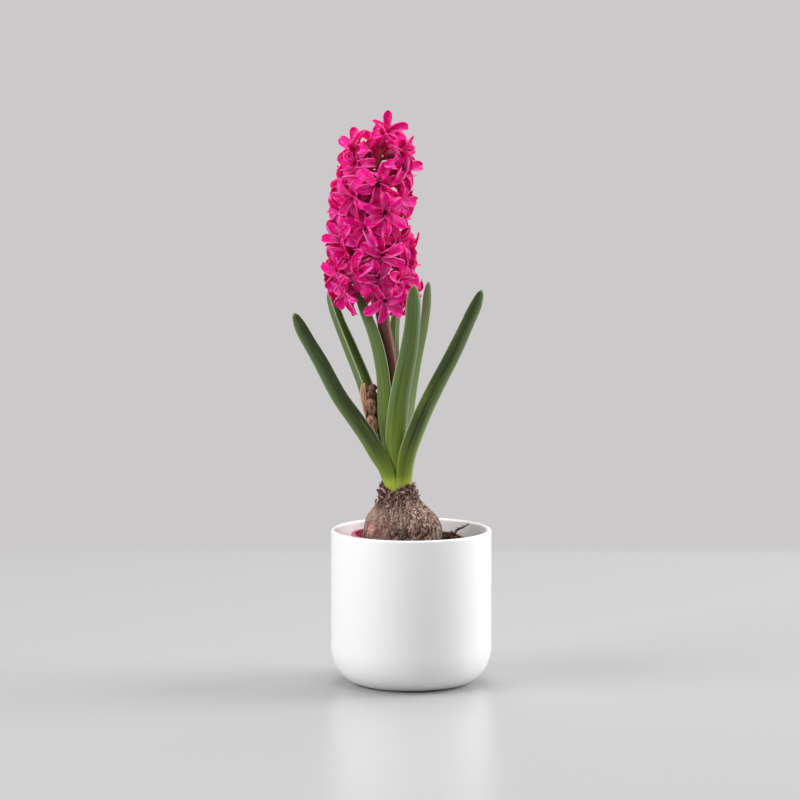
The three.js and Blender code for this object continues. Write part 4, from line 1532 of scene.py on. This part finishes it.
@dataclass
class Floret:
    """One floret, its mouth at the origin and facing +Z, with its tube behind it."""

    kind: FlowerKind
    seed: int
    length: float = 18.0
    half_width: float = 4.65
    mouth_radius: float = 1.7
    thickness: float = 0.5
    rows: int = 12
    columns: int = 8
    # stations of a petal: length from the mouth and angle from the floret's axis
    bend: Stops = ((0, 22), (2.6, 48), (5.2, 64), (8.6, 76), (12, 88), (14.4, 100), (17.6, 118))
    # stations of a petal: share of its length and share of its half width
    outline: Stops = (
        (0, 0.42), (0.1, 0.58), (0.2, 0.78), (0.32, 0.93), (0.5, 1), (0.66, 1), (0.78, 0.93), (0.88, 0.79),
        (0.95, 0.56), (1, 0.2),
    )
    # the outside of the tube: radius and distance behind the mouth
    tube: tuple[tuple[float, float], ...] = (
        (1.1, 14.5), (2.0, 13), (2.75, 11), (2.9, 9), (2.5, 6.5), (2.0, 4), (1.9, 1.8), (2.1, 0),
    )
    throat: tuple[tuple[float, float], ...] = ((1.4, 0.5), (1.2, 2.4), (0.3, 3.4))
    # how far the channel of a petal opens: at the mouth, past it and at the end
    openings: tuple[float, float, float] = (1.1, 1.9, 0.55)
    outer: float = 8  # how much further the three outer petals lean and curl
    # how the petals differ: azimuth, lean, curl, sideways sway, twist, wave, fold, and the shares of length
    # and of width
    spread: float = 8
    leans: Range = (-15, 13)
    curls: Range = (-48, 30)
    sway: float = 16
    twist: float = 42
    waves: Range = (0.2, 0.75)
    folds: Range = (0.8, 2.6)
    lengths: Range = (0.88, 1.06)
    widths: Range = (0.82, 1.06)
    # the stamens: radius of their circle, depth in the throat and size
    stamen_circle: float = 0.7
    stamen_depth: float = 1.9
    stamen_size: Point = (0.3, 0.3, 1.1)

    def petal(self, azimuth: float, lean: float, curl: float, draw: random.Random) -> bpy.types.Object:
        """One petal, from the mouth out.

        Args:
            azimuth: Its direction round the floret's axis.
            lean: How much further than the bend it leans out, all along.
            curl: How much further its end curls.
            draw: The source of its small differences.

        Returns:
            The petal.
        """
        middle, side, axis = heading(azimuth), heading(azimuth + 90), up(1)
        sway, twist = draw.uniform(-self.sway, self.sway), draw.uniform(-self.twist, self.twist)
        wave, phase = draw.uniform(*self.waves), draw.uniform(0, 6.28)
        length = self.length * draw.uniform(*self.lengths)
        width = self.half_width * draw.uniform(*self.widths)
        fold = draw.uniform(*self.folds)
        spine = middle * self.mouth_radius - up(0.5)
        rows = []
        reached = 0.0
        for j in range(self.rows + 1):
            v = 1 - (1 - j / self.rows) ** 1.3
            reach = length * v
            bend = between(self.bend, reach) + lean * ease(v, 0, 0.3) + curl * ease(v, 0.4, 1.05)
            angle = math.radians(bend)
            out = (middle + side * math.tan(math.radians(sway * v))).normalized()
            along = out * math.sin(angle) + axis * math.cos(angle)
            spine = spine + along * (reach - reached)
            reached = reach
            face = turned(twist * v, along) @ (axis * math.sin(angle) - out * math.cos(angle))
            across = along.cross(face) * -1
            half = width * between(self.outline, v)
            mouth, wide, end = self.openings
            opening = mix(mix(mouth, wide, ease(v, 0, 0.2)), end, ease(v, 0.35, 0.95))
            channel = fold * opening * min(1, half / 2)
            row = []
            for i in range(self.columns + 1):
                u = 2 * i / self.columns - 1
                lift = channel * (0.65 * u * u + 0.35 * u**4)
                lift += wave * u * u * math.sin(phase + 8 * v + 2 * u)
                row.append(spine + across * half * (u - 0.07 * channel * u**3) + face * lift)
            rows.append(row)
        petal = surface("petal", rows)
        finish_with(petal, "SOLIDIFY", thickness=self.thickness * MM, offset=0)
        paint(petal, "shade", draw.random())
        return petal

    def stamen(self, turn: float) -> bpy.types.Object:
        """Builds one stamen, low in the throat.

        Args:
            turn: Its azimuth.

        Returns:
            The stamen.
        """
        made = ball(1)
        at = heading(turn) * self.stamen_circle - up(self.stamen_depth)
        made.data.transform(Matrix.Translation(at * MM) @ Matrix.Diagonal((*self.stamen_size, 1)))
        return made

    def build(self, petal: bpy.types.Material, tube: bpy.types.Material,
              anther: bpy.types.Material) -> bpy.types.Object:
        """Joins six petals to the tube, with the stamens in its throat.

        Args:
            petal: The material of the petals.
            tube: The material of the tube.
            anther: The material of the stamens.

        Returns:
            The floret.
        """
        draw = random.Random(self.seed)
        lean, curl = self.kind.value
        petals = []
        for i, turn in enumerate(compass(6)):
            outer = self.outer * (i % 2)
            azimuth = turn + 30 + draw.uniform(-self.spread, self.spread)
            leaning = lean + outer + draw.uniform(*self.leans)
            petals.append(self.petal(azimuth, leaning, curl + outer + draw.uniform(*self.curls), draw))
        rings = [ring(up(-behind), radius, compass(12)) for radius, behind in (*self.tube, *self.throat)]
        barrel = surface("barrel", rings, around=True)
        stamens = [self.stamen(turn) for turn in compass(6)]
        for parts, material in ((petals, petal), ([barrel], tube), (stamens, anther)):
            for part in parts:
                part.data.materials.append(material)
        return join("floret", [*petals, barrel, *stamens])


@dataclass(frozen=True)
class Spiral:
    """The places on a spiral round the stalk that a floret could take."""

    low: float = 292
    high: float = 404
    start: float = 96
    turn: float = 137.508
    rise: float = 0.9
    room: float = 12.7
    # the see-through gap near the top: its heights and the share of the reach to either side
    gap: tuple[float, float, float] = (377, 401, 0.62)
    # the lowest value, what the climb to the top adds, and how far it is spread
    pitch: tuple[float, float, float] = (-14, 40, 8)
    reach: tuple[float, float, float] = (22, -6, 3)

    def places(self) -> list[tuple[float, float, float, float]]:
        """Follows the spiral up.

        Returns:
            The height of the mouth, azimuth, pitch and reach of each place.
        """
        count = int((self.high - self.low) / self.rise)
        found = []
        for i in range(count):
            share = (i * GOLDEN) % 1
            climb = (i / count) ** 2
            pitch, reach = (a + b * climb + c * share for a, b, c in (self.pitch, self.reach))
            height, azimuth = self.low + i * self.rise, self.start + i * self.turn
            if self.gap[0] < height < self.gap[1] and abs(heading(azimuth).x) < self.gap[2]:
                continue
            found.append((height, azimuth, pitch, reach))
        return found


@dataclass(frozen=True)
class Seat:
    """Where a floret sits: its foot on the stalk, its mouth, the way it faces and its kind."""

    foot: Vector
    mouth: Vector
    facing: Vector
    kind: FlowerKind


@dataclass
class FlowerHead:
    """The stalk's end with its florets, in the places of the head's node."""

    stalk: Sequence[Point]
    highest_foot: float = 404.7
    # the outer layer of florets, and a fuller one inside it
    spirals: tuple[Spiral, ...] = (
        Spiral(), Spiral(start=40, room=13.5, reach=(13, -3, 3), pitch=(-12, 40, 16)),
    )
    forms: int = 3
    roll: float = 60
    tilt: float = 30
    sizes: Range = (0.92, 1.07)
    seed: int = 3
    # what is special to a bud: its size, its tint and how it turns to the front
    bud_size: float = 0.6
    bud_tint: float = 1.6
    bud_way: Point = (0, -1.5, 0.2)
    tube_foot: float = 13.2
    pedicel_radii: Range = (1.5, 1.05)
    rachis_foot: float = 286
    rachis_radii: Range = (4.8, 1.3)
    # florets seen from the front: height of the mouth, azimuth, pitch, reach and kind
    front: tuple[tuple[float, float, float, float, FlowerKind], ...] = (
        (289.5, 280, -14, 23, FlowerKind.OPEN),
        (291, 312, -16, 23, FlowerKind.STAR),
        (296, 212, -22, 24, FlowerKind.CUP),
        (304, 308, -4, 24, FlowerKind.CUP),
        (311, 243, -6, 25, FlowerKind.OPEN),
        (309, 203, -8, 26, FlowerKind.CUP),
        (313, 341, -4, 22, FlowerKind.STAR),
        (324, 284, 0, 25, FlowerKind.OPEN),
        (331, 318, 2, 22, FlowerKind.ROLLED),
        (334, 217, 0, 28, FlowerKind.CUP),
        (342, 257, 0, 25, FlowerKind.STAR),
        (346, 345, 4, 22, FlowerKind.ROLLED),
        (355, 289, 4, 25, FlowerKind.CUP),
        (356, 193, 6, 25, FlowerKind.ROLLED),
        (366, 230, 8, 24, FlowerKind.OPEN),
        (364, 322, 8, 21, FlowerKind.OPEN),
        (375, 274, 10, 23, FlowerKind.STAR),
        (376, 205, 14, 24, FlowerKind.ROLLED),
        (387, 322, 16, 20, FlowerKind.OPEN),
        (389, 222, 18, 22, FlowerKind.ROLLED),
        (400, 203, 34, 20, FlowerKind.CUP),
        (399, 328, 22, 19, FlowerKind.STAR),
        (381, 336, 10, 21, FlowerKind.ROLLED),
        (410, 292, 44, 14, FlowerKind.BELL),
        (390.5, 215, 8, 25, FlowerKind.BUD),
        (379.5, 272, 10, 26, FlowerKind.BUD),
    )

    def seat(self, height: float, azimuth: float, pitch: float, reach: float, kind: FlowerKind) -> Seat:
        """Finds a floret's seat.

        Args:
            height: The height that its mouth is aimed at.
            azimuth: The way that it faces.
            pitch: How far it faces up.
            reach: The distance from its foot to its mouth.
            kind: How far it has opened.

        Returns:
            The seat.
        """
        facing = heading(azimuth) * math.cos(math.radians(pitch))
        facing.z = math.sin(math.radians(pitch))
        foot = at_height(self.stalk, min(height - reach * facing.z, self.highest_foot))
        mouth = foot + facing * reach
        if kind is FlowerKind.BUD:
            facing = (facing + Vector(self.bud_way)).normalized()
        return Seat(foot, mouth, facing, kind)

    def seats(self) -> list[Seat]:
        """Takes the seats seen from the front, then the roomiest places left on the spirals.

        Returns:
            The seats.
        """
        taken = [self.seat(*place) for place in self.front]
        kinds = list(FlowerKind)[1:]

        def room(seat: Seat) -> float:
            """The distance to the nearest mouth."""
            return min((seat.mouth - other.mouth).length for other in taken)

        for spiral in self.spirals:
            free = [self.seat(*place, kinds[i % len(kinds)]) for i, place in enumerate(spiral.places())]
            best = max(free, key=room)
            while room(best) >= spiral.room:
                taken.append(best)
                best = max(free, key=room)
        return taken

    def lay(self, seat: Seat, index: int, draw: random.Random) -> Matrix:
        """Lays a floret on its seat, with a small tilt of its own.

        Args:
            seat: The seat.
            index: Its number, which sets its roll.
            draw: The source of its tilt.

        Returns:
            The place of the floret, in mm.
        """
        roll = turned(self.roll * ((index * GOLDEN) % 1), "Z")
        turn = up(1).rotation_difference(seat.facing).to_matrix().to_4x4()
        nod = turned(draw.uniform(0, self.tilt), heading(draw.uniform(0, 360)))
        size = draw.uniform(*self.sizes) * (self.bud_size if seat.kind is FlowerKind.BUD else 1)
        return Matrix.Translation(seat.mouth) @ turn @ nod @ roll @ Matrix.Scale(size, 4)

    def pedicel(self, foot: Vector, joint: Vector) -> bpy.types.Object:
        """Builds the short stem that carries a floret, bowed a little.

        Args:
            foot: Where it leaves the stalk.
            joint: Where it meets the floret's tube.

        Returns:
            The stem.
        """
        line = Line([foot, foot.lerp(joint, 0.5) - up(0.5), joint])
        return tube("pedicel", line, lambda u, _: mix(*self.pedicel_radii, ease(u, 0, 0.5)), 6, 10)

    def rachis(self) -> bpy.types.Object:
        """Builds the end of the stalk that carries the florets.

        Returns:
            The bare rachis.
        """
        above = [p for p in self.stalk if p[2] > self.rachis_foot + 1]
        line = Line([at_height(self.stalk, self.rachis_foot), *above])
        return tube("rachis_axis", line, lambda u, _: mix(*self.rachis_radii, ease(u, -0.2, 0.85)), 48, 20)

    def build(self) -> None:
        """Builds the patterns, lays a copy on each seat with its pedicel, and joins them."""
        petal = Petal().made()
        tube_skin = StalkSkin("floret_tube", (0.3, 0.06, 0.09), (0.42, 0.005, 0.11), (0.5, 0.0, 0.13),
                              (0.7, 0.04, 0.25)).made()
        pedicel_skin = StalkSkin("pedicel_skin", (0.24, 0.09, 0.05), (0.36, 0.04, 0.08), (0.45, 0.01, 0.12),
                                 (0.6, 0.08, 0.2)).made()
        rachis_skin = StalkSkin("rachis_skin", (0.2, 0.03, 0.05), (0.26, 0.05, 0.05), (0.36, 0.2, 0.07),
                                (0.5, 0.34, 0.18)).made()
        anther = Husk("anther", (0.12, 0.006, 0.04), (0.24, 0.02, 0.08), (0.5, 0.22, 0.16)).made()
        patterns = {}
        for i, kind in enumerate(FlowerKind):
            seeds = [20 + 7 * i + 31 * k for k in range(self.forms)]
            patterns[kind] = [Floret(kind, seed).build(petal, tube_skin, anther) for seed in seeds]
        draw = random.Random(self.seed)
        florets, pedicels = [], []
        for i, seat in enumerate(self.seats()):
            place = self.lay(seat, i, draw)
            florets.append(copy_of(patterns[seat.kind][i % self.forms], place))
            paint(florets[-1], "tint", self.bud_tint if seat.kind is FlowerKind.BUD else draw.random())
            pedicels.append(self.pedicel(seat.foot, place @ up(-self.tube_foot)))
            pedicels[-1].data.materials.append(pedicel_skin)
        remove([pattern for several in patterns.values() for pattern in several])
        half = len(florets) // 2
        dress(join("florets_front", florets[:half]), "flower_head")
        dress(join("florets_around", florets[half:]), "flower_head")
        rachis = self.rachis()
        rachis.data.materials.append(rachis_skin)
        dress(join("rachis", [rachis, *pedicels]), "flower_head")


@dataclass
class FlowerStalk:
    """The round stem from the bulb's neck to the head."""

    radius: float = 4.3
    thick: float = 4.9
    ribs: float = 0.012
    dents: float = 0.01
    top: float = 285.4
    line: tuple[Point, ...] = (
        (-10, 0, 139.8), (-10, 0, 152), (-10.6, 0, 183), (-12.1, 0, 205.5), (-13.6, 0, 221.3),
        (-15.3, 0, 239.9), (-17.5, 0, 254.3), (-20.2, 0, 268.2), (-22.5, 0, 284.1), (-25.5, 0, 302.8),
        (-27.7, 0, 325.1), (-28.1, 0, 347.4), (-26.6, 0, 369.7), (-24.2, 0, 383), (-22.6, 0, 398.5),
        (-21.6, 0, 405),
    )

    def radius_at(self, share: float, azimuth: float) -> float:
        """The radius, with faint ribs and small dents.

        Args:
            share: How far along the stem it is.
            azimuth: The azimuth.

        Returns:
            The radius.
        """
        ribs = self.ribs * math.cos(math.radians(8 * azimuth))
        dents = self.dents * rough(Vector((azimuth * 0.04, share * 5, 0)), 1)
        return mix(self.radius, self.thick, ease(share, 0.1, 0.4)) * (0.985 + ribs + dents)

    def build(self) -> None:
        """Builds the stem."""
        points = [p for p in self.line if p[2] < self.top - 1]
        line = Line([*points, at_height(self.line, self.top)])
        skin = StalkSkin("stem_skin", (0.17, 0.17, 0.04), (0.155, 0.062, 0.034), (0.165, 0.046, 0.034),
                         (0.36, 0.2, 0.13))
        dress(tube("flower_stem", line, self.radius_at, 72, 48), "flower_stalk", skin.made())


@dataclass
class WitheredSpike:
    """A dried second flower spike: a thin stem with shrivelled buds and a papery bract."""

    radius: float = 1.4
    line: tuple[Point, ...] = (
        (-18.8, -0.9, 139.8), (-18.8, -0.9, 151), (-20.4, 1.4, 168), (-23.6, 4.6, 188.3), (-27.6, 6.4, 204),
        (-31, 7.6, 219),
    )
    # the relief of a bud: its three broad folds, its eight fine ones and its dents
    relief: tuple[float, float, float] = (0.13, 0.07, 0.22)
    flatness: float = 0.85
    # buds: middle, radius, length, lean to the right of the lower end, and paleness
    buds: tuple[tuple[Point, float, float, float, float], ...] = (
        ((-28.3, 2.4, 195), 3.8, 13.4, 27, 0.6), ((-29.4, 2.6, 207.6), 3.8, 13.6, 8, 0.4),
        ((-28.9, 3.6, 221), 3.2, 7.4, -8, 0), ((-30.2, 3.4, 216.2), 3.3, 8.6, -16, 0.25),
        ((-35.2, 4.4, 212.5), 2.3, 25, 6, 0.85), ((-35.2, 4, 219.5), 1.5, 12, -4, 0.7),
        ((-33.6, 5.2, 210), 2.2, 25, 7, 0),
        # the last two are large dark buds set behind the others, so that the gaps between the buds show dark:
        # painted shade
        ((-29.5, 8.6, 211), 4.4, 22, 6, 0), ((-28.2, 6.4, 197), 4.2, 20, 18, 0),
    )

    def bud(self, index: int) -> bpy.types.Object:
        """Builds one shrivelled bud, tapered to its foot, with folds along it.

        Args:
            index: Its number among the buds.

        Returns:
            The bud.
        """
        middle, radius, length, lean, pale = self.buds[index]
        tip = turned(-lean, "Y")
        broad, fine, dents = self.relief
        rows = []
        for v in (j / 20 for j in range(21)):
            size = radius * (0.05 + math.sin(math.pi * (0.02 + 0.97 * v) ** 1.35) ** 0.66)
            row = []
            for turn in compass(36):
                angle, out = math.radians(turn), heading(turn)
                fold = broad * math.cos(3 * angle + index * 1.7 + 1.4 * v)
                fold += fine * math.cos(8 * angle + 3 * v + index)
                dent = dents * rough(Vector((out.x * 2 + index * 7, out.y * 2, v * 3)), 1)
                reach = size * (0.98 + fold + dent)
                at = Vector((out.x * reach, out.y * reach * self.flatness, (v - 0.5) * length))
                row.append(Vector(middle) + tip @ at)
            rows.append(row)
        made = surface("bud", rows, around=True)
        paint(made, "tint", pale)
        return made

    def build(self) -> None:
        """Builds the stem and its buds."""
        stem = tube("stem", Line(self.line), lambda u, _: self.radius, 30, 14)
        paint(stem, "tint", 0)
        piece = join("withered_buds", [stem, *[self.bud(i) for i in range(len(self.buds))]])
        skin = Husk("dry_bud_skin", (0.055, 0.014, 0.01), (0.26, 0.105, 0.065), (0.6, 0.35, 0.2), 16)
        dress(piece, "withered_spike", skin.made())


@dataclass
class DryRoot:
    """A dark dry root that curls up beside the bulb, with fine side hairs."""

    radius: float = 0.85
    hairs: int = 18
    line: tuple[Point, ...] = (
        (29.5, -5, 96), (29.5, -5, 103), (29.5, -5, 110.2), (27.9, -5, 112.2), (29.7, -4, 113.8),
        (32.3, -4, 112.9), (34.3, -2, 115.5), (39.2, 0, 117.4), (43.2, 2, 119.5),
    )
    seed: int = 9

    def build(self) -> None:
        """Builds the root and its hairs."""
        line = Line(self.line)
        root = tube("root", line, lambda u, _: self.radius * mix(1.05, 0.5, ease(u, 0.75, 1)), 90, 12)
        paint(root, "tint", 0.1)
        parts = [root]
        draw = random.Random(self.seed)
        for i in range(self.hairs):
            at = line.at(mix(0.42, 0.85, i / self.hairs))
            way = heading(draw.uniform(0, 360)) * draw.uniform(2, 5) + up(draw.uniform(-0.8, 3))
            bend = heading(draw.uniform(0, 360)) * 1.2 + up(draw.uniform(0, 1.4))
            strand = Line([at, at + way * 0.5 + bend, at + way])
            hair = tube("hair", strand, lambda u, _: mix(0.2, 0.1, u), 8, 6)
            paint(hair, "tint", draw.uniform(0.1, 0.9))
            parts.append(hair)
        skin = Husk("root_skin", (0.018, 0.006, 0.004), (0.06, 0.02, 0.013), (0.4, 0.24, 0.12), 12)
        dress(join("root_strand", parts), "dry_root", skin.made())


@dataclass
class Studio:
    """The table top, the soft lights and the camera."""

    camera: Point = (-8.41, -2965.6, 569.3)
    down: float = 6.85
    lens: float = 180.4
    sensor: float = 36
    clip: Range = (50, 50000)
    wall: Colour = (0.603, 0.585, 0.594)
    room_light: float = 0.31
    # lights: place in mm, size in mm and power in watts
    lights: tuple[tuple[Point, float, float], ...] = (
        ((-2314, -936, 1376), 1950, 62.5),
        ((2500, 480, 1311), 1820, 80),
        ((0, -150, 2300), 1100, 17),
        ((150, 900, 2000), 1300, 18),
    )
    aim: Point = (0, 0, 180)
    table: float = 6000
    table_back: float = 660

    def lay_table(self) -> None:
        """Adds the table top."""
        deselect()
        middle = (0, (self.table_back - self.table / 2) * MM, 0)
        bpy.ops.mesh.primitive_plane_add(size=self.table * MM, location=middle)
        floor = bpy.context.object
        floor.name = "table_top"
        bpy.ops.object.transform_apply(location=True)
        floor.data.materials.append(FloorFinish().made())

    def light(self) -> None:
        """Adds the lights and a room that looks paler to the camera than the light that it gives."""
        for place, size, power in self.lights:
            bpy.ops.object.light_add(type="AREA", location=Vector(place) * MM)
            light = bpy.context.object
            light.data.size = size * MM
            light.data.energy = power
            light.rotation_euler = (Vector(self.aim) - Vector(place)).to_track_quat("-Z", "Y").to_euler()
        world = bpy.data.worlds.new("pale_room")
        world.use_nodes = True
        bpy.context.scene.world = world
        room = NodeTree(world.node_tree)
        seen = room.node("ShaderNodeLightPath", output="Is Camera Ray")
        tone = room.blend(seen, (self.room_light,) * 3, self.wall)
        room.tree.links.new(tone.socket, room.found("BACKGROUND").inputs["Color"])
        bpy.context.scene.view_settings.view_transform = "Standard"

    def build(self) -> None:
        """Sets the stage and the camera."""
        self.lay_table()
        self.light()
        tilt = (math.radians(90 - self.down), 0, 0)
        bpy.ops.object.camera_add(location=Vector(self.camera) * MM, rotation=tilt)
        camera = bpy.context.object
        camera.data.lens = self.lens
        camera.data.sensor_width = self.sensor
        camera.data.clip_start, camera.data.clip_end = (end * MM for end in self.clip)
        bpy.context.scene.camera = camera


def main() -> None:
    """Builds the pieces in order."""
    logging.basicConfig(level=logging.INFO, format="%(message)s")
    Studio().build()
    cup, bulb, stalk = NurseryPot(), BulbShape(), FlowerStalk()
    Pot().build()
    cup.build()
    PottingMix(cup, bulb).build()
    Bulb(bulb).build()
    Leaves(bulb).build()
    stalk.build()
    FlowerHead(stalk.line).build()
    WitheredSpike().build()
    DryRoot().build()
    deselect()


if __name__ == "__main__":
    main()
